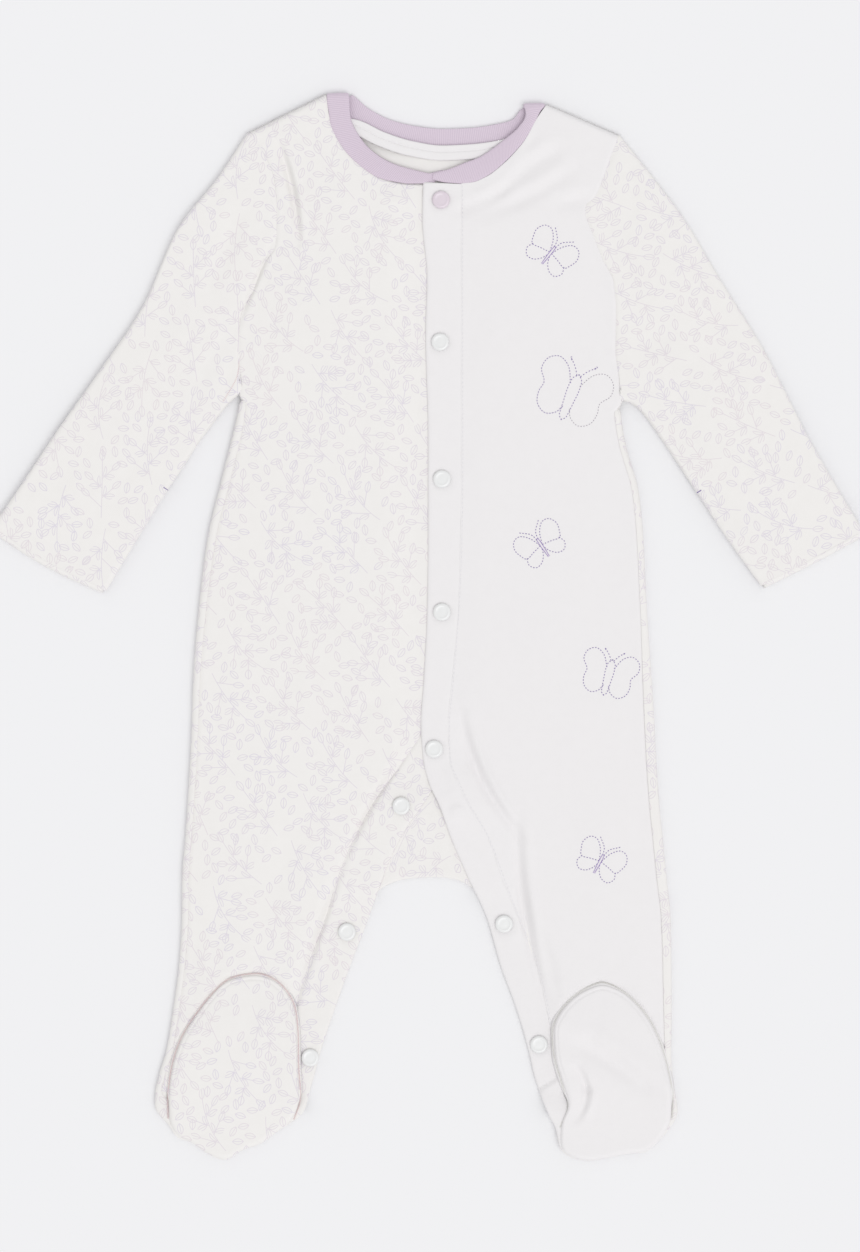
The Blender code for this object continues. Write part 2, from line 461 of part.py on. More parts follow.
def front(name, half, sole, finish, flip):
    rows = sections(half)
    last = rows[-1]
    rows.append(last._replace(side_y=last.side_y - FRONT_TAIL, seam_y=last.seam_y - FRONT_TAIL))
    grid = []
    for row in rows:
        seam = np.array([row.seam_x, row.seam_y])
        side = np.array([row.side_x, row.side_y])
        span = side - seam
        length = np.linalg.norm(span)
        side = side - span / length * front_edge_inset(row)
        line = []
        for u in ACROSS:
            x, y = seam + (side - seam) * u
            reach = np.linalg.norm(side - seam)
            z = front_height(x, y, row, u * reach, (1 - u) * reach, sole)
            line.append([x, y, z])
        grid.append(line)
    grid = np.array(grid)
    from_shoulder = np.linalg.norm(grid[:, :, :2] - grid[0, :, :2], axis=2)
    up = rounded(from_shoulder, EDGE_ROLL)
    grid[:, :, 2] = SHOULDER_SEAM + (grid[:, :, 2] - SHOULDER_SEAM) * up
    cloth = Cloth()
    cloth.grid(grid, flip=flip)
    cloth.level_edge = [cloth.point(p) for p in grid[0]]
    make_piece(name, *cloth.wall(CLOTH), finish)


# ---- the back ----
ROLL_STEPS = 3
LEG_CELLS = 6
CROTCH_CELLS = 3
SHOULDER_CELLS = 2


def side_roll(row):
    """Insets and heights of the columns that roll up at a side, from the free edge to the flat part."""
    radius = row.height / 2
    rolled = [(radius + row.wrap, row.height)]
    for step in range(ROLL_STEPS + 1):
        angle = math.pi / 2 - math.pi * step / ROLL_STEPS
        rolled.append((radius - radius * math.cos(angle), radius + radius * math.sin(angle)))
    count = len(rolled) - 1
    out = []
    for k, (inset, z) in enumerate(rolled):
        flat = (FLAT_INSET if row.side_y > 0 else ANKLE_INSET) * (k / count) ** 1.3
        out.append((flat + (inset - flat) * row.turn, z * row.turn))
    return out


def back_row(right, left, fractions, middle):
    """One section of the back from the wearer's right side to the left side."""
    start = np.array([right.side_x, right.side_y])
    end = np.array([left.side_x, left.side_y])
    line = []
    stops = [start, *middle, end]
    marks = [0.0, *[fractions[m] for m in (LEG_CELLS, LEG_CELLS + CROTCH_CELLS)][: len(middle)], 1.0]
    direction = (stops[1] - start) / np.linalg.norm(stops[1] - start)
    for inset, z in side_roll(right):
        line.append([*(start + direction * inset), z])
    first = np.array(line[-1][:2])
    direction = (stops[-2] - end) / np.linalg.norm(stops[-2] - end)
    tail = [[*(end + direction * inset), z] for inset, z in side_roll(left)][::-1]
    stops[0], stops[-1] = first, np.array(tail[0][:2])
    for f in fractions[1:-1]:
        xy = [np.interp(f, marks, [s[axis] for s in stops]) for axis in (0, 1)]
        line.append([*xy, 0.0])
    return line + tail


def shoulder_row(right, left):
    """The top edge of the back: shoulder, back neck seam, shoulder."""
    tips = [np.array([half.side_x, half.side_y]) for half in (right, left)]
    necks = [np.array([half.seam_x, half.seam_y]) for half in (right, left)]
    lines = []
    for tip, neck in zip(tips, necks):
        length = np.linalg.norm(neck - tip)
        toward = (neck - tip) / length
        insets = [inset for inset, _ in side_roll(right)]
        insets += list(np.linspace(FLAT_INSET, length, SHOULDER_CELLS + 1)[1:])
        lines.append([tip + toward * inset for inset in insets])
    seam = []
    for row in RIB_BACK[1:-1]:
        at = np.array([row.seam_x, row.seam_y])
        away = at - np.array([row.free_x, row.free_y])
        seam.append(at + away / np.linalg.norm(away) * GAP)
    return np.array(lines[0] + seam + lines[1][::-1])


def back_leg(cloth, half, crotch_line, free, heel, side):
    """One leg of the back, from the crotch line to the turned-up heel."""
    stations = [s for s in BODY_ROWS if s > CROTCH]
    rows = sections(half, stations)
    inner = along(free, [s - NECK_CORNER for s in stations])
    grid = [crotch_line]
    for row, edge in zip(rows, inner):
        start = np.array([row.side_x, row.side_y])
        end = edge[:2]
        toward = (end - start) / np.linalg.norm(end - start)
        line = [[*(start + toward * inset), z] for inset, z in side_roll(row)]
        first = np.array(line[-1][:2])
        for k in range(1, LEG_CELLS + 1):
            line.append([*(first + (end - first) * k / LEG_CELLS), 0.0])
        grid.append(line)
    ankle = np.array(grid[-1])
    reach = np.concatenate([[0], np.cumsum(np.linalg.norm(np.diff(ankle[:, :2], axis=0), axis=1))])
    edge = evenly(heel, 200)
    share = reach / reach[-1] * 199
    bottom = np.stack([np.interp(share, range(200), edge[:, axis]) for axis in (0, 1)], axis=1)
    drop = bottom - ankle[:, :2]
    length = np.linalg.norm(drop, axis=1)[:, None]
    for inset_share in (0.4, 0.72):
        grid.append(np.column_stack([ankle[:, :2] + drop * inset_share, ankle[:, 2] * 0]))
    for inset, z in ((2.6, 0.0), (0.8, 0.7), (0.0, 2.4), (0.0, HEEL_RIM)):
        grid.append(np.column_stack([bottom - drop / length * inset, ankle[:, 2] * 0 + z]))
    cloth.grid(grid, flip=side == "right")


def build_back():
    rows_right, rows_left = sections(RIGHT), sections(LEFT)
    crotch = BODY_ROWS.index(CROTCH)
    width = rows_left[crotch].side_x - rows_right[crotch].side_x
    leg_right = (CROTCH_RIGHT_X - rows_right[crotch].side_x) / width
    leg_left = (CROTCH_LEFT_X - rows_right[crotch].side_x) / width
    fractions = np.concatenate([
        np.linspace(0, leg_right, LEG_CELLS + 1),
        np.linspace(leg_right, leg_left, CROTCH_CELLS + 1)[1:],
        np.linspace(leg_left, 1, LEG_CELLS + 1)[1:],
    ])
    corners = [np.array([CROTCH_RIGHT_X, CROTCH_RIGHT_Y]), np.array([CROTCH_LEFT_X, CROTCH_LEFT_Y])]
    grid = []
    for k in range(crotch + 1):
        middle = corners if k == crotch else []
        grid.append(back_row(rows_right[k], rows_left[k], fractions, middle))
    grid = np.array(grid)
    top = shoulder_row(rows_right[0], rows_left[0])
    first = BODY_ROWS.index(1)
    for k in range(first):
        grid[k, :, :2] = top + (grid[first, :, :2] - top) * BODY_ROWS[k]
    sewn = ROLL_STEPS + 1 + SHOULDER_CELLS
    for k in range(first):
        away = np.linalg.norm(grid[k, :, :2] - top, axis=1)
        lift = (SHOULDER_SEAM - GAP) * (1 - rounded(away, EDGE_ROLL))
        lift[sewn + 1:-sewn - 1] = 0
        grid[k, :, 2] = lift
    cloth = Cloth()
    cloth.grid(grid, flip=True)
    shoulders = [*grid[0, :sewn + 1], *grid[0, -sewn - 1:]]
    cloth.level_edge = [cloth.point(p) for p in shoulders]
    right_leg = grid[-1][: ROLL_STEPS + 2 + LEG_CELLS]
    left_leg = grid[-1][-(ROLL_STEPS + 2 + LEG_CELLS):][::-1]
    back_leg(cloth, RIGHT, right_leg, PLACKET_RIGHT, HEEL_RIGHT, "right")
    back_leg(cloth, LEFT, left_leg, PLACKET_LEFT, HEEL_LEFT, "left")
    fold = grid[-1][ROLL_STEPS + 1 + LEG_CELLS: ROLL_STEPS + 2 + LEG_CELLS + CROTCH_CELLS]
    turned = [fold]
    for angle in np.radians([-45, 0, 45, 90]):
        line = fold.copy()
        line[:, 1] -= CROTCH_TURN * math.cos(angle)
        line[:, 2] = CROTCH_TURN * (1 + math.sin(angle))
        turned.append(line)
    for row in TONGUE:
        share = np.linspace(0, 1, CROTCH_CELLS + 1)
        line = [[row.right + (row.left - row.right) * s, row.y, 2 * CROTCH_TURN] for s in share]
        turned.append(np.array(line))
    cloth.grid(turned, flip=True)
    make_piece("back", *cloth.wall(CLOTH), PRINTED)


# ---- sleeves and mitts ----
def sleeve_rows(table):
    return [Sleeve(*row) for row in along(table, [0, 0.35, 1, 2, 3, 4, 5, 6, 7])]


def armhole(half):
    """The armhole seam at the shared sections, with the share of its length at each."""
    points = along(half, SEWN_ROWS)[:, :2]
    reach = np.concatenate([[0], np.cumsum(np.linalg.norm(np.diff(points, axis=0), axis=1))])
    return points, reach / reach[-1]


def sleeve(name, table, half, side, finish):
    seam, share = armhole(half)
    rows = sleeve_rows(table)
    straight = np.array([rows[0].outer_x, rows[0].outer_y]) * (1 - share)[:, None]
    straight = straight + np.array([rows[0].under_x, rows[0].under_y]) * share[:, None]
    bow = seam - straight
    hand = -1 if side == "right" else 1
    grid = []
    start = np.array([(rows[0].under_x + rows[0].outer_x) / 2, (rows[0].under_y + rows[0].outer_y) / 2])
    for row in rows:
        outer = np.array([row.outer_x, row.outer_y])
        under = np.array([row.under_x, row.under_y])
        centre = (outer + under) / 2
        gone = np.linalg.norm(centre - start)
        line = outer * (1 - share)[:, None] + under * share[:, None]
        line = line + bow * max(0.0, 1 - gone / ARMHOLE_BEND) ** 2
        width = np.linalg.norm(under - outer)
        down = np.array([(under - outer)[1], -(under - outer)[0]]) / width
        down = down * (1 if down[1] < 0 else -1)
        hem = max(0.0, 1 - np.linalg.norm(centre - hem_centre(rows)) / HEM_BEND)
        line = line + down * (np.sin(np.pi * share) * HEM_BOW[side] * hem)[:, None]
        from_edge = np.minimum(share, 1 - share) * width
        round_off = rounded(from_edge, EDGE_ROLL)
        if row is rows[0]:
            line = line + np.array([hand, -0.3]) * (GAP + SHOULDER_ROOM * (1 - round_off))[:, None]
        middle = row.lift + row.height / 2
        top = middle + row.height / 2 * round_off
        low = middle - row.height / 2 * round_off
        top = top - [creased(x, y, SLEEVE_FOLDS) for x, y in line] * (round_off > 0.9)
        upper = np.column_stack([line, top])
        lower = np.column_stack([line, low])
        grid.append(np.vstack([upper, lower[-2:0:-1]]))
    cloth = Cloth()
    cloth.grid(grid, closed=True, flip=side == "left")
    make_piece(name, *cloth.wall(CLOTH), finish)


def hem_centre(rows):
    last = rows[-1]
    return np.array([(last.under_x + last.outer_x) / 2, (last.under_y + last.outer_y) / 2])


def mitt(name, table, side, finish):
    """The scratch mitt flap under a sleeve end; its fold at the hem turns up past the sleeve's edge."""
    rows = [Sleeve(*row) for row in along(table, [5, 5.7, 6.4, 7])]
    last = rows[-1]
    outer = np.array([last.outer_x, last.outer_y])
    under = np.array([last.under_x, last.under_y])
    across = under - outer
    down = np.array([across[1], -across[0]]) / np.linalg.norm(across)
    down = down * (1 if down[1] < 0 else -1)
    share = np.linspace(0, 1, 9)
    lines = []
    for row in rows:
        a = np.array([row.outer_x, row.outer_y])
        b = np.array([row.under_x, row.under_y])
        inset = (b - a) / np.linalg.norm(b - a) * MITT_INSET
        lines.append((a + inset) * (1 - share)[:, None] + (b - inset) * share[:, None])
    bow = down * (np.sin(np.pi * share) * HEM_BOW[side])[:, None]
    edge = lines[-1] + bow + down * MITT_DROP
    grid = [np.column_stack([line, share * 0]) for line in lines[:-1]]
    for reach, z in ((-1.0, 0.0), (0.9, 0.5), (1.7, 1.7), (1.8, 2.8)):
        grid.append(np.column_stack([edge + down * reach, share * 0 + z]))
    cloth = Cloth()
    cloth.grid(grid, flip=side == "right")
    make_piece(name, *cloth.wall(CLOTH), finish)


# ---- plackets, rib and tape ----
def placket(name, half, free, seam_away, finish, flip):
    """A strip from its seam with the front to its free edge."""
    stations = [s for s in BODY_ROWS if s >= NECK_CORNER]
    rows = sections(half, stations)
    edges = along(free, [s - NECK_CORNER for s in stations])
    grid = []
    for row, edge in zip(rows, edges):
        seam = np.array([row.seam_x, row.seam_y])
        toward = (edge[:2] - seam) / np.linalg.norm(edge[:2] - seam)
        seam = seam + toward * seam_away
        top = edge[2] + CLOTH
        line = [[*(seam + (edge[:2] - seam) * u), top] for u in (0, 0.33, 0.67, 1)]
        grid.append(line)
    cloth = Cloth()
    cloth.grid(grid, flip=flip)
    make_piece(name, *cloth.wall(CLOTH), finish)


def rib_line(row, z, steps=3):
    share = np.linspace(0, 1, steps + 1)
    seam = np.array([row.seam_x, row.seam_y])
    free = np.array([row.free_x, row.free_y])
    line = seam * (1 - share)[:, None] + free * share[:, None]
    return np.column_stack([line, share * 0 + z])


def fold_over(row, top):
    """The rib turning over a shoulder, from the front's level down to the surface."""
    radius = top / 2
    lines = []
    for angle in np.radians([60, 30, 0, -30, -60, -90]):
        line = rib_line(row, radius * (1 + math.sin(angle)))
        line[:, 1] += radius * math.cos(angle) - radius
        lines.append(line)
    return lines


def build_neck_rib():
    stations = [s for s in SEWN_ROWS if 0.2 <= s]
    lines = [rib_line(RIB_RIGHT_END, NECK_TOP)]
    for row in along(RIB_RIGHT, [s for s in stations if s <= 5])[::-1]:
        lines.append(rib_line(Span(*row), NECK_TOP))
    lines += fold_over(RIB_RIGHT[0], NECK_TOP)
    for row in RIB_BACK[1:-1]:
        lines.append(rib_line(row, 0.0))
    lines += fold_over(RIB_LEFT[0], NECK_TOP)[::-1]
    for row in along(RIB_LEFT, [s for s in stations if s <= NECK_CORNER]):
        lines.append(rib_line(Span(*row), NECK_TOP))
    for row in RIB_LEFT_ENDS:
        lines.append(rib_line(row, NECK_TOP))
    cloth = Cloth()
    cloth.grid(lines, flip=True)
    make_piece("neck_rib", *cloth.wall(RIB), LILAC_RIB)


def build_neck_tape():
    """The tape lies over the back neck seam, from one front to the other."""
    grid = []
    for row in along(RIB_BACK, np.linspace(3, 9.6, 12)):
        seam = np.array([row[0], row[1]])
        away = seam - np.array([row[2], row[3]])
        away = away / np.linalg.norm(away)
        start = seam - away * TAPE_SEAM
        grid.append([[*(start + away * TAPE_WIDTH * u), RIB + GAP + TAPE] for u in (0, 0.5, 1)])
    cloth = Cloth()
    cloth.grid(grid, flip=True)
    make_piece("neck_tape", *cloth.wall(TAPE), PLAIN)


# ---- feet ----
def dome(cloth, rim, centre, level, flip, scales=(0.72, 0.4)):
    """Rings from a rim inward to a centre: rounded at the rim, then at the level's height."""
    rim = np.array(rim, float)
    centre = np.array(centre)
    spoke = rim[:, :2] - centre
    length = np.linalg.norm(spoke, axis=1)[:, None]
    rings = []
    for inset in (0.0, 0.25, EDGE_ROLL, DOME_RIM):
        flat = rim[:, :2] - spoke / length * inset
        up = rounded(inset, EDGE_ROLL)
        z = [edge + (level(x, y) - edge) * up for (x, y), edge in zip(flat, rim[:, 2])]
        rings.append(np.column_stack([flat, z]))
    for scale in scales:
        flat = centre + spoke * (1 - DOME_RIM / length) * scale
        rings.append(np.column_stack([flat, [level(x, y) for x, y in flat]]))
    cloth.grid(rings, closed=True, flip=flip)
    cloth.fan(rings[-1], [*centre, level(*centre)], flip)


def sole(name, rim, side, finish):
    def level(x, y):
        drop = SOLE_DROP * ease((SOLE_DROP_FROM - y) / SOLE_DROP_OVER)
        return FOOT_TOP - drop - creased(x, y, SOLE_FOLDS)

    cloth = Cloth()
    dome(cloth, rim, SOLE_CENTRE[side], level, flip=side == "right")
    make_piece(name, *cloth.wall(CLOTH), finish)


def foot_upper(name, rim, side, finish):
    """The instep: under the sole, with the same outline at the toe, cut straight at the ankle."""
    arch = rim[-ARCH_ROWS + 1:] + rim[:ARCH_ROWS]
    arch = [Rim(r.x, r.y, FOOT_SEAM) for r in arch]
    first, last = arch[0], arch[-1]
    ankle = [
        Rim(last.x + (first.x - last.x) * u, last.y + (first.y - last.y) * u, FOOT_UNDER + 0.3)
        for u in (0.25, 0.5, 0.75)
    ]
    centre = np.array(SOLE_CENTRE[side]) + np.array([0, 14.0])
    cloth = Cloth()
    dome(cloth, arch + ankle, centre, lambda x, y: FOOT_UNDER, flip=side == "left", scales=(0.6,))
    make_piece(name, *cloth.wall(CLOTH), finish)


# ---- snaps ----
def strip_top(x, y, half, free):
    """Top of a placket near a place."""
    stations = np.linspace(0, len(free) - 1, 12 * len(free))
    seam = along(half, stations + NECK_CORNER)[:, 2:4]
    edge = along(free, stations)
    middle = (seam + edge[:, :2]) / 2
    near = np.hypot(middle[:, 0] - x, middle[:, 1] - y)
    return max(edge[near < CAP_RADIUS + 4, 2].max(), edge[near.argmin(), 2]) + CLOTH


def cap(snap):
    """A pressed snap cap: a low dome with a rounded edge and a flat underside."""
    leg_right = snap.name.startswith("snap_cap_leg_right")
    half, free = (RIGHT, PLACKET_RIGHT) if leg_right else (LEFT, PLACKET_LEFT)
    base = strip_top(snap.x, snap.y, half, free) + GAP
    profile = [(CAP_RADIUS, 0.0), (CAP_RADIUS, CAP_SIDE), (CAP_RADIUS - CAP_SLOPE, CAP_HEIGHT)]
    sides = 12
    points = []
    for radius, up in profile:
        for k in range(sides):
            angle = 2 * math.pi * k / sides
            points.append((snap.x + radius * math.cos(angle), snap.y + radius * math.sin(angle), base + up))
    faces = [[*range(sides - 1, -1, -1)]]
    for ring in range(len(profile) - 1):
        for k in range(sides):
            a, b = ring * sides + k, ring * sides + (k + 1) % sides
            faces.append([a, b, b + sides, a + sides])
    faces.append([(len(profile) - 1) * sides + k for k in range(sides)])
    make_piece(snap.name, points, faces, LILAC_CAP if snap.tint == "lilac" else WHITE_CAP)


def main():
    for old in list(bpy.data.objects):
        bpy.data.objects.remove(old)
    build_back()
    front("front_right", RIGHT, SOLE_RIGHT, PRINTED, flip=True)
    front("front_left", LEFT, SOLE_LEFT, PLAIN, flip=False)
    placket("placket_right", RIGHT, PLACKET_RIGHT, GAP, PRINTED, flip=False)
    placket("placket_left", LEFT, PLACKET_LEFT, GAP, PLAIN, flip=True)
    sleeve("sleeve_right", SLEEVE_RIGHT, RIGHT, "right", PRINTED)
    sleeve("sleeve_left", SLEEVE_LEFT, LEFT, "left", PRINTED)
    mitt("mitt_right", SLEEVE_RIGHT, "right", PRINTED)
    mitt("mitt_left", SLEEVE_LEFT, "left", PRINTED)
    build_neck_rib()
    build_neck_tape()
    sole("sole_right", SOLE_RIGHT, "right", PRINTED)
    sole("sole_left", SOLE_LEFT, "left", PLAIN)
    foot_upper("foot_upper_right", SOLE_RIGHT, "right", PRINTED)
    foot_upper("foot_upper_left", SOLE_LEFT, "left", PLAIN)
    for snap in SNAPS:
        cap(snap)


main()
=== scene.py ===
"""Looks of a footed baby sleepsuit that lies flat on its back.

Lengths are in millimetres and become metres in Cloth.piece(). Every panel is a thin wall of cloth
whose outer face is worked out from the same named sections as its solid, at finer stations, with
its creases added. Each panel carries a UV map, "cut", that is its flat pattern in metres.
"""

import math
from collections import namedtuple
from functools import partialmethod

import bpy
import numpy as np
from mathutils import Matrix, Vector
from mathutils.bvhtree import BVHTree


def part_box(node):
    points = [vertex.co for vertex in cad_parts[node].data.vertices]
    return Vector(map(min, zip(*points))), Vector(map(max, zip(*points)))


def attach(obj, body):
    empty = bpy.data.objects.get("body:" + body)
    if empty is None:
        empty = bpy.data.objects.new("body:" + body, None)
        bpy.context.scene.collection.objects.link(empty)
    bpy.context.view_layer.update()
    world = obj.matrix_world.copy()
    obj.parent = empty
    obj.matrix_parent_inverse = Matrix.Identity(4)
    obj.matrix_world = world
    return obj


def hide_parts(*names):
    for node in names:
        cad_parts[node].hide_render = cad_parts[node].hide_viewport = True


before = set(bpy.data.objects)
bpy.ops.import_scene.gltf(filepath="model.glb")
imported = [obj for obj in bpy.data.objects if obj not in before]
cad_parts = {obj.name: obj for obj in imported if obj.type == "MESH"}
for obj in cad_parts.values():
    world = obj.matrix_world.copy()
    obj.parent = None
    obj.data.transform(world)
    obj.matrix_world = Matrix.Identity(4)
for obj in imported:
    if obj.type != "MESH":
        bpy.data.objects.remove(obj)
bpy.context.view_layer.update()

MM = 0.001
INTERLOCK = 0.9      # wall of one cloth panel
RIB_WALL = 1.8       # doubled rib
TAPE_WALL = 0.6
LAP = -0.1           # how far apart two pieces lie where a flat seam joins them
STEP = 2.4           # distance between the stations of a panel
CLOTH = 1.5          # a solid's wall: one panel with its seam allowances
RIB = 2.0            # doubled rib at the neck
TAPE = 1.2           # tape over the back neck seam
GAP = 0.3            # between pieces, at seams and between layers
TOP = 5.6            # height of the front above the surface
CROWN = 0.8          # extra height in the middle of a front
EDGE_ROLL = 2.6      # radius at which a shoulder, sleeve or foot edge rounds off
FLAT_INSET = 14.0    # strip of the back that rolls up at a side, laid flat beside an armhole
ANKLE_INSET = 6.0    # the same strip laid flat at an ankle
SHOULDER_SEAM = 3.0  # height of the shoulder seam
NECK_TOP = 5.6       # top of the rib at the front of the neck
CROTCH_TURN = 1.65   # radius of the fold where the crotch turns up
FOOT_UNDER = 3.6     # underside of a folded-up foot
FOOT_SEAM = 5.6      # height of the instep at its seam with the sole
FOOT_TOP = 9.0       # top of a sole
HEEL_RIM = 3.9       # height of the back's turned-up heel edge
FOOT_PRESS = -0.5    # a front stays low under a folded-up foot, out to here from its seam


# ---- tables ----
def table(row_type, text):
    """Rows of named columns. A row that ends early carries on with the values of the row above."""
    rows = []
    for line in text.strip().replace(";", "\n").splitlines():
        values = [float(word) for word in line.split()]
        rows.append(row_type(*values, *(rows[-1][len(values):] if rows else ())))
    return rows


Half = namedtuple("Half", "side_x side_y seam_x seam_y wrap edge_z rise puff flat height turn")
# One row for each section of a front, from the shoulder seam to the ankle.
# side: armhole and then the side fold; seam: neck seam and then placket seam; edge_z: top there;
# flat, rise, puff: how far the front stays low beside the seam, over what length it climbs, how
# much higher than TOP it swells there; turn, wrap, height: how far the back's side rolls up, and
# how far and how high it reaches over the front.
RIGHT = table(Half, """
    -101.4 276.1 -57.2 298.2 0 5.5 6 0 0 5.6 0; -92.4 265.4 -55 284; -86.8 252.6 -49.5 270.5
    -85 240 -39.5 259; -84.6 228 -25.5 250.4 0 4.9 8; -85.2 214 -12 247.8 0 4.2 12
    -92 203 2 247.3 0 3.3 14 0 6; -97.4 189 2 228; -105 172.5 2 195; -106.4 154 2 165
    -105.3 134.4 2 140; -106 124 2 125 1.2 3.3 14 0 6 5.6 1; -110.3 104.2 2 104 2.4; -117.5 75 2 75
    -123.2 51.5 2 48 2.2; -128.2 12.3 2 12 1.6; -131.6 -29.7 2 -26 1.2
    -132.4 -55 -1.5 -55 1 3.3 10 0.4 5; -133.3 -74 -12.5 -74 1 3.3 6 0.8 0
    -134.1 -88 -22.5 -88 1 3.7 5; -134.8 -100 -31 -100 1 5.1 5 0.9; -136 -118 -40.8 -118
    -137.8 -141 -50.4 -140.6 1 5.1 5 0.8; -138 -165 -57.5 -164 1 3.4 5 0.7 0 5.4
    -139.6 -190 -67 -190 1 3.3 6 0.4 0 4.8; -143 -216 -74 -214 1 3.3 8 0
    -147 -239 -78.5 -238 1.2 3.3 8 0 0 4.6; -150.4 -250 -80 -250; -152.8 -260 -80.5 -260
""")
LEFT = table(Half, """
    107.5 275 66.6 292.4 0 5.5 6 0 0 5.6 0; 102.5 263.2 60.8 284; 97.8 250 54.5 272.5
    94 241 43.5 260; 88.2 232 33 251.8; 92.5 219 25.5 248.6; 98 205 18.5 247.5 0 5.5 8
    103.8 193 18.5 228 0 5.3; 105.3 176 18.5 195 0 5.1; 105 155 18.5 165; 108.1 129 18.5 140
    108.3 119 18.5 124 1 5.1 8 0 0 5.6 1; 110.6 103 18.5 104; 118.2 75 18.5 75; 120.7 50 18 48
    122.6 12 17 12; 125.4 -29.7 13.4 -30 2.4; 127 -55 11.2 -54 3 5.1 8 0.2 2
    127.9 -74 11.8 -74 3 5.1 8 0.5 6; 128.8 -88 16.5 -88 3 6.1 8 0.8; 129.7 -100 22.5 -100 3 6.4
    131.5 -118 33.2 -118 3 5.4 7 0.9; 133.8 -141 41.2 -141 3 5.1 6
    136.1 -165 50.7 -164 2.8 3.7 6 0.7 5 5.4; 136.5 -190 60.6 -190 2.6 3.3 6 0.3 5 4.8
    136.6 -216 66.5 -215 2.2 3.3 8 0 0; 136.4 -239 70.5 -238 1.4 3.3 8 0 0 4.6
    137 -250 72.8 -249 1.2; 138.4 -260 75.5 -260
""")
NECK_CORNER = 6      # the row at the centre-front end of the neck seam
UNDERARM = 10        # the row at the underarm point
CROTCH = 22          # the row at the crotch fold
ANKLE = 28           # the last full row of a leg

Edge = namedtuple("Edge", "x y base")
# Free edge of each placket, one row for each panel section from NECK_CORNER down, and the height
# of the strip's underside there.
PLACKET_RIGHT = table(Edge, """
    19 247 1.8; 19.5 228; 19.5 195; 19.5 165; 19.5 140; 19.5 125; 19.5 104; 19.5 75; 19.5 48
    19.5 12; 19.5 -26; 19 -52; 14.5 -73; 5.5 -88 2.2; -3.5 -101 3.6; -15 -118; -25.2 -141
    -33 -163 1.9; -43 -189 1.8; -52 -214; -60 -238; -63.2 -250; -66 -260
""")
PLACKET_LEFT = table(Edge, """
    -2.8 248.6 4; -3.2 228 3.8; -0.6 195 3.6; -1.4 165; -0.9 140; -0.3 124; 0 104; 0 75; 0 48
    -0.4 12; -2.4 -30; -4 -54; -2.8 -74; 0.5 -88 4.6; 6.2 -100.2 4.9; 12.5 -118 3.9; 21.5 -139 3.6
    33 -164 2.2; 40.5 -190 1.8; 49.6 -215; 56.6 -239; 59 -250; 62 -260
""")

Span = namedtuple("Span", "seam_x seam_y free_x free_y")
# The rib, across the strip: at the sections of the neck seam of both fronts, past centre front,
# and at the back of the neck, from the wearer's right shoulder fold to the left one.
RIB_RIGHT = table(Span, """
    -55.4 298.5 -44.2 298.8; -54.7 284 -43.4 285.5; -49.2 270.8 -37.8 273.5; -39.3 259.4 -30 265.2
    -25.4 250.8 -18.5 258.7; -12 248.2 -7.3 255.4
""")
RIB_LEFT = table(Span, """
    64.2 293 53.4 292.9; 60.4 284.2 54.6 286.6; 54.2 272.8 50.6 279.4; 43.2 260.4 42.8 272.6
    32.8 252.2 34.6 266.4; 25.4 249 28.6 262.6; 18.4 248.1 21.3 259.8
""")
RIB_BACK = table(Span, """
    -56 295.8 -44.4 296.2; -53 289.8 -43.6 297; -46.5 286.4 -42.4 297.8; -37 283.8 -33.5 290.2
    -24 277.6 -20.5 283.6; -8 272.6 -6.5 280.2; 8 270.3 8 278.7; 24 271 23 279.2; 39 273 37.5 281.2
    50 276.5 47.5 284; 58 281.6 51.5 289; 65 290.3 53.4 290.4
""")
RIB_RIGHT_TUCK = Span(3.5, 247.9, 8.6, 255.6)   # the right end runs on under the left one
RIB_RIGHT_END = Span(-3.6, 248.2, 1.2, 253.4)
RIB_LEFT_ENDS = [Span(9.0, 248.9, 11.8, 255.9), Span(2.0, 250.6, 2.6, 253.6)]

Sleeve = namedtuple("Sleeve", "under_x under_y outer_x outer_y height lift")
SLEEVE_RIGHT = table(Sleeve, """
    -105.3 134.4 -101.4 276.1 5.6 0; -111 126 -118.5 250.5 6; -119 115 -139.4 224 6.4
    -128 103 -160 179; -137 89 -184 143 6.2 0.6; -145.6 76.2 -207 110.5 4.9 1.8; -163 48 -226 82
    -180.3 19.6 -244.4 54.9 4.4
""")
SLEEVE_LEFT = table(Sleeve, """
    108.1 129 107.5 275 5.6 0; 114.5 125.5 125 253 6; 122 117 142.2 230.2 6.4; 131.5 103.5 164 194
    141.5 88.5 187.5 156 6.2 0.6; 150.6 74.5 211 109.8 4.9 1.8; 168.5 47.5 229 78
    186.5 22.4 244.4 52.6 4.4
""")
MITT_ROWS = (5, 7)   # the sections of a sleeve that lie on its mitt

Point = namedtuple("Point", "x y")
# Heel edges, from the outer corner of the ankle round to the inner one.
HEEL_RIGHT = table(Point, """
    -152.6 -271; -145.2 -280; -140.5 -286.6; -132 -289.6; -123.5 -295.8; -113.5 -299.2; -104 -293.6
    -93.5 -290; -84 -283; -76 -277.8; -69.8 -272.5
""")
HEEL_LEFT = table(Point, """
    139.8 -273.5; 134.6 -282.4; 129 -288.8; 121.5 -294.8; 111 -295.9; 101 -297.9; 90 -299.6
    80.5 -297.8; 73.6 -292; 71.6 -282; 67.6 -274
""")
Rim = namedtuple("Rim", "x y z")
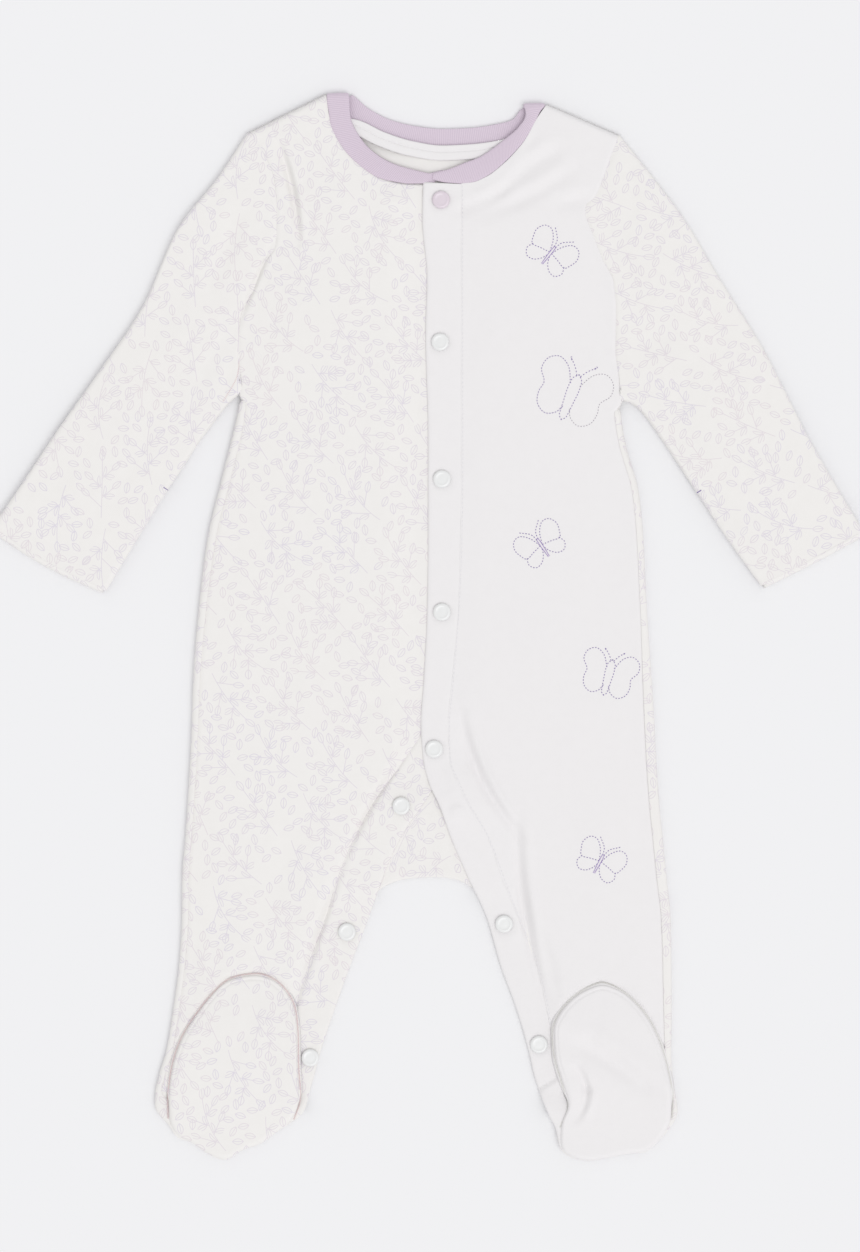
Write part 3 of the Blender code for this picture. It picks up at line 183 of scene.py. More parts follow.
# Seam round each sole, from the toe outward and round the heel. z is the height of the seam.
SOLE_RIGHT = table(Rim, """
    -97 -195.4 6.6; -110.9 -198.2; -121 -207; -131 -220; -138 -232; -142.6 -246; -144.8 -261.5
    -144.9 -275 5.4; -140 -285.6 4.8; -132 -289.4 4.7; -123.5 -295.5; -113.5 -298.9; -104 -293.4
    -93.5 -289.8; -84 -282.8 4.8; -75.6 -275.5 5.4; -72.2 -264 6.6; -73.2 -247; -73.4 -228
    -75.2 -213.5; -80.4 -203.8; -88 -197.6
""")
SOLE_LEFT = table(Rim, """
    97.4 -200.5 6.6; 108 -204.6; 117 -212.4; 124.2 -222; 129.6 -234; 133.6 -248; 136.2 -262
    136 -275 5.4; 129.2 -288.2 4.8; 121.5 -294.4 4.7; 111 -295.6; 101 -297.6; 90 -299.3
    80.8 -297.4; 74.2 -291.6 4.8; 74.4 -280 5.2; 79 -268 6.6; 75.4 -255; 71.4 -241; 70.6 -225
    77 -213; 86.5 -205
""")
ARCH_ROWS = 7        # rims from the toe down each side that the instep shares with the sole

Fold = namedtuple("Fold", "x0 y0 x1 y1 width depth")
# The largest folds: middle line from one end to the other, width, and depth.
FRONT_FOLDS = table(Fold, """
    14 232 40 244 9 0.9; 40 244 70 263 10 1; 30 231 52 241 9 0.7; 52 241 82 256 10 0.6
    -83 268 -74 246 9 0.7; -74 246 -72 219 10 0.6; 74 237 88 237 10 0.8
""")
SLEEVE_FOLDS = table(Fold, """
    99 230 128 160 16 0.9; 128 160 163 62 18 0.8; -106 228 -120 190 14 0.7
""")
SOLE_FOLDS = table(Fold, """
    83 -249 88.5 -258 7 0.9; 88.5 -258 84 -274; 93 -236 122 -258 12 0.5
""")

Crease = namedtuple("Crease", "x0 y0 bow x1 y1 width depth lip")
# Creases listed one by one: a line from end to end with its bow, width, depth and raised lip.
RIGHT_CREASES = table(Crease, """
    -84 270.5 2.6 -72.6 214 2 2.9 0.8; -66 276 -3 -54 236 6 0.4 0.4; -100 192 3 -82 160 5 0.5
    -44 -62 5 -16 -34; -12.9 -73 -2.6 -46.5 -131.5 1.7 2.2 0.1; -45 -127 -0.6 -75 -216 1.8 2
    -62 -96 -6 -92 -186 8 0.5 0.4; -118 -150 4 -122 -196 7 0.4 0.3; -100 60 5 -88 -10 10 0.35
    -30 110 -4 -36 40 9 0.3; -85.6 217 -0.9 -105.4 170 1.6 2.2 0.1; -90 130 4 -60 96 7 0.3 0.4
    -72 -20 -4 -104 -74 8 0.35
""")
LEFT_CREASES = table(Crease, """
    13 232 -3 49 249 3 1.2 0.8; 46 247.5 3 76 267 3.6 1.1 0.7; 29 229 -3 82 256 3.6 1 0.8
    76 236 2 91 238.5 3 0.9 0.5; 84 216 3 100 184 5 0.5 0.4; 26 210 3 24 150 6 0.25 0.3
    17.9 -46 -6 52 -118 2.6 3.2 0.7; 50 -104 -4 66 -214 2.8 3 0.6; 60 -60 7 84 -160 11 0.5 0.3
    98 92 4 104 20 9 0.35; 44 20 4 48 -44 9 0.3; 12 -50 3 20 -86 2.4 0.8 0.4
    4.6 -74 -1 12.5 -94 4.2 0.9 0.3; 56 262 2 62 276 3 0.5 0.5
""")
SLEEVE_RIGHT_CREASES = table(Crease, """
    -108 238 5 -126 190 5 0.5 0.5; -100 176 -4 -132 124 5 0.45; -136 206 3 -158 150 7 0.35 0.4
    -152 120 3 -184 62 6; -85.6 217 -0.9 -105.4 170 1.6 2.2 0.1; -196 96 -3 -214 62 6 0.25 0.4
    -112 150 3 -120 120 3.6 0.5 0.5
""")
SLEEVE_LEFT_CREASES = table(Crease, """
    97 232 -6 163 62 6 0.55 0.4; 112 252 3 108 214 5 0.45 0.5; 112 150 3 128 118 4.5 0.5
    146 196 -4 176 140 7 0.3 0.4; 186 110 3 214 62 6; 118 226 -3 134 196 5
""")
SOLE_RIGHT_CREASES = table(Crease, """
    -98 -206 5 -112 -238 6 0.35 0.4; -128 -238 4 -122 -276 7 0.4; -84 -232 -4 -90 -272 6 0.35
""")
SOLE_LEFT_CREASES = table(Crease, """
    82.5 -246 5.5 84 -275.5 1.8 1.8 0.9; 76.5 -231 3 126 -262 5 2.2 0.5
    92 -208 4 86 -236 5 0.35 0.4; 122 -232 3 118 -282 7
""")
CROTCH_CREASES = table(Crease, """
    -12 -104 2 -16 -136 3 0.3 0.4; 2 -106 -2 4 -136 4 0.25; 10 -112 1 14 -136 3
""")

CROTCH_LEFT = (21.0, -138.2)      # ends of the crotch fold
CROTCH_RIGHT = (-25.2, -140.6)
Tongue = namedtuple("Tongue", "right left y")
# The crotch turned up on the front of the back, from the fold up to its end under the plackets.
TONGUE = table(Tongue, """
    -24.5 20 -130; -19.5 17 -118; -13 13 -106; -9 11.5 -100.6
""")

Snap = namedtuple("Snap", "name x y")
SNAPS = [
    Snap("neck", 7.3, 238.6),
    Snap("body_1", 6.8, 159.0),
    Snap("body_2", 7.8, 82.3),
    Snap("body_3", 7.8, 7.8),
    Snap("body_4", 3.4, -68.9),
    Snap("leg_right_1", -15.0, -100.8),
    Snap("leg_right_2", -45.4, -171.4),
    Snap("leg_right_3", -66.0, -241.9),
    Snap("leg_left_1", 16.8, -104.7),
    Snap("leg_left_2", 42.6, -166.9),
    Snap("leg_left_3", 62.2, -234.5),
]
LILAC_SNAP = "neck"
COVERED_SNAP = "leg_left_1"   # it lies under the plain placket

Side = namedtuple(
    "Side", "name hand half free heel sole foot_middle sleeve hem_bow"
    " front_creases sleeve_creases sole_creases",
)
# hand: which way the side lies along X; hem_bow: how far the middle of a sleeve end reaches past
# its corners.
RIGHT_SIDE = Side(
    "right", -1, RIGHT, PLACKET_RIGHT, HEEL_RIGHT, SOLE_RIGHT, (-108.0, -247.0), SLEEVE_RIGHT, 2.5,
    RIGHT_CREASES, SLEEVE_RIGHT_CREASES, SOLE_RIGHT_CREASES,
)
LEFT_SIDE = Side(
    "left", 1, LEFT, PLACKET_LEFT, HEEL_LEFT, SOLE_LEFT, (103.0, -249.0), SLEEVE_LEFT, 0.6,
    LEFT_CREASES, SLEEVE_LEFT_CREASES, SOLE_LEFT_CREASES,
)
SIDES = (RIGHT_SIDE, LEFT_SIDE)


# ---- curves and sections ----
def unit_rows(vectors):
    return vectors / np.linalg.norm(vectors, axis=1, keepdims=True)


def length_along(points):
    """Length along a line of points, at each of them."""
    return np.concatenate([[0.0], np.cumsum(np.linalg.norm(np.diff(points, axis=0), axis=1))])


def at_height(plan, z):
    """Points of a plan at one height, or each at its own."""
    return np.column_stack([plan, plan[:, 0] * 0 + z])


def bell(distance, width, power=2):
    """1 at no distance, fading over a width."""
    return np.exp(-((distance / width) ** power))


def ease(t):
    t = np.clip(t, 0.0, 1.0)
    return t * t * (3 - 2 * t)


def rounded(distance, radius):
    """0 at an edge, 1 from one radius inward, along a quarter circle."""
    t = np.clip(1 - np.asarray(distance) / radius, 0.0, 1.0)
    return np.sqrt(1 - t * t)


def along(rows, stations):
    """Rows of a table at whole and fractional row numbers, without overshoot between the rows."""
    rows = np.array(rows, float)
    stations = np.asarray(stations, float)
    knot = np.concatenate([[0.0], np.cumsum(np.maximum(np.diff(length_along(rows[:, :2])), 0.01))])
    slope = np.diff(rows, axis=0) / np.diff(knot)[:, None]
    tangent = np.vstack([slope[:1], np.zeros_like(slope)])
    tangent[-1] = slope[-1]
    before, after = slope[:-1], slope[1:]
    same = before * after > 0
    tangent[1:-1] = np.where(same, 2 * before * after / np.where(same, before + after, 1.0), 0.0)
    k = np.clip(stations.astype(int), 0, len(rows) - 2)
    t = (stations - k)[:, None]
    width = np.diff(knot)[k][:, None]
    return (
        rows[k] * (1 + 2 * t) * (1 - t) ** 2
        + tangent[k] * width * t * (1 - t) ** 2
        + rows[k + 1] * t * t * (3 - 2 * t)
        + tangent[k + 1] * width * t * t * (t - 1)
    )


def columns_of(rows, stations):
    """The columns of a table at stations, each shaped to spread over a row of places."""
    found = along(rows, stations)
    return type(rows[0])(*[found[:, k:k + 1] for k in range(found.shape[1])])


def split(rows, first, last, step=STEP, columns=(0, 1)):
    """Station numbers from row to row, no further apart than step."""
    at = [float(first)]
    for k in range(first, last):
        d = (np.array(rows[k + 1]) - np.array(rows[k]))[list(columns)]
        gap = max(np.hypot(d[j], d[j + 1]) for j in range(0, len(d), 2))
        count = max(1, math.ceil(gap / step))
        at += [k + (j + 1) / count for j in range(count)]
    return at


def respaced(fine, count):
    """count points spaced evenly by length along a fine line."""
    reach = length_along(fine[:, :2])
    wanted = np.linspace(0, reach[-1], count)
    return np.stack([np.interp(wanted, reach, column) for column in fine.T], axis=1)


def evenly(points, count):
    """Points spaced evenly along a line through the given points that never overshoots them."""
    return respaced(along(points, np.linspace(0, len(points) - 1, 40 * len(points))), count)


def smooth_line(points, count):
    """Points spaced evenly along a rounder line through the given points."""
    p = np.array(points, float)
    ends = np.vstack([2 * p[0] - p[1], p, 2 * p[-1] - p[-2]])
    t = np.linspace(0, 1, 24, endpoint=False)[:, None]
    parts = []
    for a, b, c, d in zip(ends, ends[1:], ends[2:], ends[3:]):
        square, cube = 2 * a - 5 * b + 4 * c - d, 3 * b - a - 3 * c + d
        parts.append(0.5 * (2 * b + (c - a) * t + square * t**2 + cube * t**3))
    return respaced(np.vstack([*parts, p[-1:]]), count)


def across(reach, fine, step=STEP):
    """Distances from one edge to the other for each row: close together near both edges."""
    fine = np.array(fine)
    count = max(3, math.ceil((np.max(reach) - 2 * fine[-1]) / step))
    inner = np.linspace(0, 1, count + 1)[1:-1]
    lines = []
    for width in np.atleast_1d(reach):
        near = fine * min(1.0, width / (2.6 * fine[-1]))
        lines.append([*near, *(near[-1] + (width - 2 * near[-1]) * inner), *(width - near[::-1])])
    return np.array(lines)


def strip(seam, edge, fine):
    """Places from a seam to an edge, section by section: x, y and the distances from both."""
    reach = np.linalg.norm(edge - seam, axis=1)
    toward = unit_rows(edge - seam)
    from_seam = across(reach, fine, CELL)
    x = seam[:, :1] + toward[:, :1] * from_seam
    y = seam[:, 1:] + toward[:, 1:] * from_seam
    return x, y, from_seam, reach[:, None] - from_seam


def beside(x, y, p, q):
    """Where the line from p to q comes nearest: its share, and the way from there to (x, y)."""
    d = q - p
    t = np.clip(((x - p[0]) * d[0] + (y - p[1]) * d[1]) / (d @ d), 0, 1)
    return t, x - p[0] - t * d[0], y - p[1] - t * d[1]


def creased(x, y, folds):
    """How far the largest folds lower a surface."""
    drop = np.zeros(np.shape(x))
    for fold in folds:
        _, ax, ay = beside(x, y, np.array(fold[:2]), np.array(fold[2:4]))
        drop += fold.depth * bell(2 * np.hypot(ax, ay), fold.width)
    return drop


def troughs(x, y, creases):
    """How far creases lower a surface: each fades at both ends and raises a lip on its left."""
    cells = 12
    drop = np.zeros(np.shape(x))
    for row in creases:
        a, b = np.array([row.x0, row.y0]), np.array([row.x1, row.y1])
        side = np.array([-(b - a)[1], (b - a)[0]]) / np.linalg.norm(b - a)
        share = np.linspace(0, 1, cells + 1)[:, None]
        line = a + (b - a) * share + side * row.bow * 4 * share * (1 - share)
        best = np.full(np.shape(x), 1e9)
        signed, place = np.zeros(np.shape(x)), np.zeros(np.shape(x))
        for k, (p, q) in enumerate(zip(line, line[1:])):
            t, ax, ay = beside(x, y, p, q)
            far = np.hypot(ax, ay)
            nearer = far < best
            best = np.where(nearer, far, best)
            left = np.sign((q - p)[0] * ay - (q - p)[1] * ax)
            signed = np.where(nearer, left * far, signed)
            place = np.where(nearer, (k + t) / cells, place)
        fade = np.clip(np.sin(np.pi * np.clip(place, 0.02, 0.98)), 0, 1) ** 0.7
        lip = bell(signed - 1.7 * row.width, 1.1 * row.width)
        drop += fade * row.depth * (bell(best, row.width) - row.lip * lip)
    return drop


CYCLE = 6.28         # one wave of the slow unevenness, in radians


def rumple(x, y, seed, size, depth):
    """Slow unevenness of cloth that was smoothed by hand."""
    rng = np.random.default_rng(seed)
    waves = 9
    total = np.zeros(np.shape(x))
    for _ in range(waves):
        angle = rng.uniform(0, np.pi)
        wave = size * rng.uniform(0.7, 1.8)
        phase = rng.uniform(0, CYCLE)
        total += np.sin((x * math.cos(angle) + y * math.sin(angle)) * CYCLE / wave + phase) / waves
    return total * depth * 2


def pucker(place, distance, seed, depth, pitch=7.0, reach=5.0):
    """Small ripples that run in from a sewn edge, uneven in size."""
    rng = np.random.default_rng(seed)
    waves = 4
    total = 0
    for _ in range(waves):
        height, wave = rng.uniform(0.4, 1.0), pitch * rng.uniform(0.7, 1.7)
        total = total + height * np.sin(place * CYCLE / wave + rng.uniform(0, CYCLE))
    return total / waves * depth * bell(distance, reach)


def outside(x, y, loop):
    """Distance from a closed outline, 0 inside it."""
    a = np.array([[p.x, p.y] for p in loop])
    inside = np.zeros(np.shape(x), bool)
    far = np.full(np.shape(x), 1e9)
    for p, q in zip(a, np.roll(a, -1, axis=0)):
        spans = (p[1] > y) != (q[1] > y)
        rise = q[1] - p[1] if q[1] != p[1] else 1.0
        inside ^= spans & (x < p[0] + (y - p[1]) * (q[0] - p[0]) / rise)
        far = np.minimum(far, np.hypot(*beside(x, y, p, q)[1:]))
    return np.where(inside, 0.0, far)


def softened(lines, reach):
    """Rows with their sharp turns smoothed over a few neighbours, the ends kept."""
    share = np.hanning(2 * reach + 3)[1:-1]
    share = share / share.sum()
    first, last = np.repeat(lines[:1], reach, 0), np.repeat(lines[-1:], reach, 0)
    padded = np.concatenate([first, lines, last])
    return sum(weight * padded[k:k + len(lines)] for k, weight in enumerate(share))


# ---- walls of cloth ----
LAID_FLAT = 0.02     # what is left of the depth of cloth that would sink into the surface
LEVELLED = 0.02      # what is left of the slope of a wall's thickness along a level edge


def placed(name, mesh, *materials):
    """A new object for a finished mesh."""
    for material in materials:
        mesh.materials.append(material)
    made = bpy.data.objects.new(name, mesh)
    bpy.context.scene.collection.objects.link(made)
    return made


class Cloth:
    """The outer face of one piece, from grids that share their border points."""

    def __init__(self):
        self.points, self.cut, self.faces, self.count = [], [], [], 0

    def grid(self, rows, cut, flip=False):
        rows = np.asarray(rows, float)
        tall, wide = rows.shape[:2]
        ids = self.count + np.arange(tall * wide).reshape(tall, wide)
        quads = np.stack([ids[:-1, :-1], ids[1:, :-1], ids[1:, 1:], ids[:-1, 1:]], axis=-1)
        quads = quads.reshape(-1, 4)
        self.faces.append(quads[:, ::-1] if flip else quads)
        self.points.append(rows.reshape(-1, 3))
        self.cut.append(np.asarray(cut, float).reshape(-1, 2))
        self.count += tall * wide

    def piece(self, name, wall, material, level_edge=None, inside=None):
        """The outer face, the same face moved inward, and the rims between them."""
        points, cut, faces = np.vstack(self.points), np.vstack(self.cut), np.vstack(self.faces)
        _, first, same = np.unique(
            np.round(points, 3), axis=0, return_index=True, return_inverse=True,
        )
        points, corners = points[first], same.reshape(-1)[faces]
        a, b = (points[corners[:, k + 2]] - points[corners[:, k]] for k in (0, 1))
        area = np.cross(a, b)
        size = np.linalg.norm(area, axis=1)
        keep = size > 1e-7
        faces, corners, area = faces[keep], corners[keep], area[keep] / size[keep, None]
        normal = np.zeros_like(points)
        for k in range(4):
            np.add.at(normal, corners[:, k], area)
        if level_edge is not None:
            normal[level_edge(points), 2] *= LEVELLED
        normal /= np.maximum(np.linalg.norm(normal, axis=1), 1e-9)[:, None]
        count, edges, polygons, spots = len(points), {}, [], []
        for ring, places in zip(corners.tolist(), cut[faces].tolist()):
            kept = [k for k in range(4) if ring[k] != ring[k - 1]]
            ring, places = [ring[k] for k in kept], [places[k] for k in kept]
            if len(ring) < 3:
                continue
            polygons.append(ring)
            spots.append(places)
            for k in range(len(ring)):
                edges[(ring[k - 1], ring[k])] = (places[k - 1], places[k])
        outer = len(polygons)
        polygons += [[c + count for c in reversed(ring)] for ring in polygons]
        spots += [places[::-1] for places in spots]
        for (p, q), (s, t) in edges.items():
            if (q, p) not in edges:
                polygons.append([p, p + count, q + count, q])
                spots.append([s, s, t, t])
        points = np.vstack([points, points - normal * wall])
        points[points[:, 2] < 0, 2] *= LAID_FLAT
        mesh = bpy.data.meshes.new(name)
        mesh.from_pydata((points * MM).tolist(), [], polygons)
        layer = mesh.uv_layers.new(name="cut")
        layer.data.foreach_set("uv", np.concatenate(spots).reshape(-1) * MM)
        made = placed(name, mesh, *([material, inside] if inside else [material]))
        if inside:
            wrong_side = np.arange(len(polygons)) >= outer
            mesh.polygons.foreach_set("material_index", wrong_side.astype(np.int32))
        mesh.shade_smooth()
        made["outer_area"] = float(size[keep].sum() / 2 * MM * MM)


def cloth_piece(name, grid, cut, flip, material, wall=INTERLOCK, level_edge=None):
    """A piece that is one grid."""
    cloth = Cloth()
    cloth.grid(grid, cut, flip)
    cloth.piece(name, wall, material, level_edge)


def turned(points, degrees, shift=(0.0, 0.0)):
    """Places on the flat pattern: the grain of a panel turned to the grain of the cloth."""
    c, s = math.cos(math.radians(degrees)), math.sin(math.radians(degrees))
    x, y = points[..., 0] + shift[0], points[..., 1] + shift[1]
    return np.stack([x * c - y * s, x * s + y * c], axis=-1)


def developed(grid, start):
    """Flat places of a grid: exact lengths across, from one column outward."""
    flat = grid[..., :2].copy()
    for way in (1, -1):
        k = start
        while 0 <= k + way < grid.shape[1]:
            step = grid[:, k + way] - grid[:, k]
            plan = np.linalg.norm(step[:, :2], axis=1, keepdims=True)
            full = np.linalg.norm(step, axis=1, keepdims=True)
            direction = np.where(plan > 1e-6, step[:, :2] / np.maximum(plan, 1e-6), [[way, 0]])
            outward = flat[:, k] + direction * full
            if k != start:
                last = flat[:, k] - flat[:, k - way]
                forward = last / np.maximum(np.linalg.norm(last, axis=1, keepdims=True), 1e-6)
                back = (direction * forward).sum(axis=1, keepdims=True) < 0
                outward = np.where(back, flat[:, k] + forward * full, outward)
            flat[:, k + way] = outward
            k += way
    return flat


# ---- node trees ----
TURN = 6.283         # a full turn in radians
HALF_TURN = 3.1416


def add(tree, kind, inputs=(), **settings):
    """A new node with its settings, its inputs linked to an output or set to a value."""
    node = tree.nodes.new(kind)
    for name, value in settings.items():
        setattr(node, name, value)
    for key, value in dict(inputs).items():
        value = value.socket if isinstance(value, Wire) else value
        if isinstance(value, bpy.types.NodeSocket):
            tree.links.new(value, node.inputs[key])
        else:
            node.inputs[key].default_value = value
    return node


def new_tree(name, inputs, outputs, kind="ShaderNodeTree"):
    """A node tree with named sockets, and the node that brings its inputs."""
    tree = bpy.data.node_groups.new(name, kind)
    for way, sockets in (("INPUT", inputs), ("OUTPUT", outputs)):
        for label, sort in sockets.items():
            tree.interface.new_socket(label, in_out=way, socket_type="NodeSocket" + sort)
    return tree, tree.nodes.new("NodeGroupInput")


class Wire:
    """One number in a node tree, so that a pattern reads as a formula."""

    def __init__(self, tree, socket):
        self.tree, self.socket = tree, socket

    def make(self, operation, *others, clamp=False):
        inputs = enumerate((self, *others))
        node = add(self.tree, "ShaderNodeMath", inputs, operation=operation, use_clamp=clamp)
        return Wire(self.tree, node.outputs[0])

    __add__ = partialmethod(make, "ADD")
    __sub__ = partialmethod(make, "SUBTRACT")
    __mul__ = partialmethod(make, "MULTIPLY")
    __truediv__ = partialmethod(make, "DIVIDE")
    floor = partialmethod(make, "FLOOR")
    size = partialmethod(make, "ABSOLUTE")
    least = partialmethod(make, "MINIMUM")
    most = partialmethod(make, "MAXIMUM")

    def turn(self, other, angle):
        """This and another coordinate, turned by an angle in radians."""
        c, s = angle.make("COSINE"), angle.make("SINE")
        return self * c + other * s, other * c - self * s


def cut_axes(tree, socket, scale):
    """The two coordinates of the flat pattern, times a scale."""
    parts = add(tree, "ShaderNodeSeparateXYZ", {0: socket})
    return [Wire(tree, parts.outputs[k]) * scale for k in (0, 1)]


def noise(tree, vector, scale, detail=2.0):
    inputs = {"Vector": vector, "Scale": scale, "Detail": detail}
    return add(tree, "ShaderNodeTexNoise", inputs).outputs[0]


def chances(x, y, z=0.0):
    """Four random numbers from 0 to 1 that belong to a cell."""
    tree = x.tree
    cell = add(tree, "ShaderNodeCombineXYZ", enumerate((x, y, z)))
    inputs = {"Vector": cell.outputs[0]}
    random = add(tree, "ShaderNodeTexWhiteNoise", inputs, noise_dimensions="3D").outputs
    parts = add(tree, "ShaderNodeSeparateColor", {0: random["Color"]})
    return [Wire(tree, socket) for socket in (random["Value"], *parts.outputs)]


# ---- the leaf sprig print ----
PRINT_SCALE = 1.1
SPRIG_LENGTH = 38.0  # the cell of one sprig, along its lean and across
SPRIG_WIDTH = 23.0
SPRIG_LEAN = 2.23    # radians from the grain
SPRIG_SHIFT = 0.41   # share of a cell's length by which each row is shifted
UPRIGHT = 0.68       # a sprig whose chance is above this points the other way
STEM = 29.0
TWIG_PITCH = 9.8
TWIG_SLANT = 0.838   # radians from the stem
PAIR_PITCH = 4.7     # between the pairs of leaves on a twig
PAIR_OFFSET = 2.15   # from a twig to the middle of its leaves
LEAF_CELL = 6.1      # the cell of one loose leaf
LOOSE_LEAN = (0.8, 0.6)   # cosine and sine of the lean of the loose leaves' rows
MISSING = 0.93       # a leaf whose chance is above this is left out
# Half length and half width of the leaves: in pairs, at a twig's tip, at a stem's top, and loose.
PAIR_LEAF, TIP_LEAF, TOP_LEAF, LOOSE_LEAF = (2.75, 1.3), (2.8, 1.35), (2.9, 1.4), (2.75, 1.4)


def leaf(x, y, half_length, half_width):
    """Distance from the outline or the vein of one leaf that lies along x."""
    radius = (half_length**2 + half_width**2) / (2 * half_width)
    flank = y.size() + (radius - half_width)
    edge = (x * x + flank * flank).make("SQRT") - radius
    return edge.size().least(y.size().most(edge))


def left_out(chance):
    """Extra distance that takes a leaf away when its chance is high."""
    return (chance - MISSING).most(0.0) * 90.0


def sprig_frame(x, y):
    """A place in the frame of the sprig whose cell it lies in: along its stem, and across."""
    u, v = x.turn(y, x * 0.0 + SPRIG_LEAN)
    row = (v / SPRIG_WIDTH).floor()
    shifted = u + row * (SPRIG_LENGTH * SPRIG_SHIFT)
    column = (shifted / SPRIG_LENGTH).floor()
    chance = chances(column, row)
    pu = shifted - (column + 0.5) * SPRIG_LENGTH + (chance[1] - 0.5) * 4.0
    pv = v - (row + 0.5) * SPRIG_WIDTH + (chance[2] - 0.5) * 3.0
    back_to_front = (chance[0] - UPRIGHT).make("GREATER_THAN", 0.0) * HALF_TURN
    pu, pv = pu.turn(pv, (chance[3] - 0.5) * 0.35 + back_to_front)
    return pu + STEM / 2 + 2.0, pv, chance


def sprig(px, py, chance):
    """Distance from the lines of a bowed stem with leafy twigs on both sides in turn."""
    bow = (chance[1] - 0.5) * 0.026
    across_stem = py - (px - 15.0) * (px - 15.0) * bow + bow * 90.0
    off = across_stem.size()
    side = across_stem.make("SIGN")
    stem = off.most(px * -1.0).most(px - STEM)
    band = px - off * 0.9 + side * 2.4 - 2.6
    number = (band / TWIG_PITCH).floor()
    foot = (number + 0.5) * TWIG_PITCH - side * 2.4 + 2.6
    luck = chances(number, side, chance[2] * 50.0)
    along_twig, aside = (px - foot).turn(off, off * 0.0 + TWIG_SLANT)
    reach = foot * -0.18 + 9.0 + luck[0] * 1.6
    missing = (foot * -1.0 + 1.5).most(foot - (STEM - 5.0)).most(0.0) * 20.0
    twig_line = aside.size().most(along_twig * -1.0).most(along_twig - reach)
    pair = ((along_twig - 1.0) / PAIR_PITCH).floor()
    slant = chances(pair, aside.make("SIGN"), luck[1] * 50.0)
    here = along_twig - 1.0 - (pair + 0.5) * PAIR_PITCH + (slant[1] - 0.5) * 0.6
    past_tip = (pair * PAIR_PITCH + 4.6 - reach).most(pair * -1.0).most(0.0) * 20.0
    gone = past_tip + left_out(slant[0])
    leaves = leaf(*here.turn(aside.size() - PAIR_OFFSET, slant[2] * 0.5 + 0.5), *PAIR_LEAF) + gone
    tip = leaf(along_twig - (reach + 2.6), aside, *TIP_LEAF)
    twigs = twig_line.least(leaves).least(tip) + missing
    top = leaf(px - (STEM + 2.7), across_stem, *TOP_LEAF)
    return stem.least(twigs).least(top)


def leaf_sprig_print():
    """Ink of a fine outline print: sprigs that lean one way, and single leaves between them."""
    sockets = {"Ink": "Float", "Tint": "Float"}
    tree, start = new_tree("leaf_sprig_print", {"Cut": "Vector"}, sockets)
    x, y = cut_axes(tree, start.outputs[0], 1000.0 / PRINT_SCALE)
    px, py, chance = sprig_frame(x, y)
    sprigs = sprig(px, py, chance)

    c, s = LOOSE_LEAN
    wx, wy = x * c + y * s, y * c - x * s
    row = (wy / LEAF_CELL).floor()
    shift = chances(row, row * 0.37, 3.0)[1] * LEAF_CELL + row * (LEAF_CELL * 0.4)
    column = ((wx + shift) / LEAF_CELL).floor()
    luck = chances(column, row, 7.0)
    dx = wx + shift - (column + 0.5) * LEAF_CELL + (luck[1] - 0.5) * 1.1
    dy = wy - (row + 0.5) * LEAF_CELL + (luck[2] - 0.5) * 1.1
    sx, sy, _ = sprig_frame(x - dx * c + dy * s, y - dx * s - dy * c)
    sx, sy = (sx - 15.5) / 18.0, sy / (sx * -0.17 + 11.0).most(4.6)
    taken = ((sx * sx + sy * sy) * -1.0 + 1.0).most(0.0) * 60.0
    loose = leaf(*dx.turn(dy, luck[3] * TURN), *LOOSE_LEAF) + taken + left_out(luck[0])

    ink = sprigs.least(loose).make("MULTIPLY_ADD", -4.2, 1.15, clamp=True)
    add(tree, "NodeGroupOutput", enumerate((ink, chance[2] * 0.6 + luck[0] * 0.4)))


def knit_surface():
    """Height of the interlock's fine wales and courses, with slight unevenness of the yarn."""
    sockets = {"Height": "Float", "Mottle": "Float"}
    tree, start = new_tree("knit_surface", {"Cut": "Vector"}, sockets)
    cut = start.outputs[0]
    x, y = cut_axes(tree, cut, 1000.0)
    wales = (x * (TURN / WALE_PITCH)).make("SINE").size()
    courses = (y * (TURN / COURSE_PITCH) + wales * 1.4).make("SINE")
    height = wales * 0.55 + courses * 0.2 + Wire(tree, noise(tree, cut, 1400.0)) * 0.5
    add(tree, "NodeGroupOutput", {0: height, 1: noise(tree, cut, 160.0, 4.0)})


# ---- materials ----
WALE_PITCH = 0.85
COURSE_PITCH = 0.7
RIB_PITCH = 1.05
CREAM = (0.862, 0.846, 0.832)
CREAM_SHADE = (0.836, 0.818, 0.802)
WHITE = (0.848, 0.832, 0.840)
WHITE_SHADE = (0.829, 0.811, 0.819)
INK_PALE = (0.762, 0.702, 0.728)
INK_DEEP = (0.696, 0.662, 0.746)
LILAC = (0.735, 0.637, 0.728)
# painted shade: the darker lilac laid in the furrows between the ribs
LILAC_FURROW_SHADE = (0.610, 0.518, 0.618)


def finish_of(name, colour, roughness, **sockets):
    """A new material with its shader's plain sockets set."""
    material = bpy.data.materials.new(name)
    material.use_nodes = True
    shader = material.node_tree.nodes["Principled BSDF"]
    shader.inputs["Base Color"].default_value = (*colour, 1.0)
    shader.inputs["Roughness"].default_value = roughness
    for label, value in sockets.items():
        shader.inputs[label.replace("_", " ")].default_value = value
    return material, material.node_tree, shader


def mixed(tree, factor, first, second):
    inputs = {"Factor": factor}
    for key, colour in ((6, first), (7, second)):
        inputs[key] = (*colour, 1.0) if isinstance(colour, tuple) else colour
    return add(tree, "ShaderNodeMix", inputs, data_type="RGBA").outputs[2]


def coat(tree, shader, colour, height, distance, strength):
    """Links a colour and a bump to a shader."""
    tree.links.new(colour, shader.inputs["Base Color"])
    inputs = {"Distance": distance, "Strength": strength, "Height": height}
    bump = add(tree, "ShaderNodeBump", inputs)
    tree.links.new(bump.outputs[0], shader.inputs["Normal"])


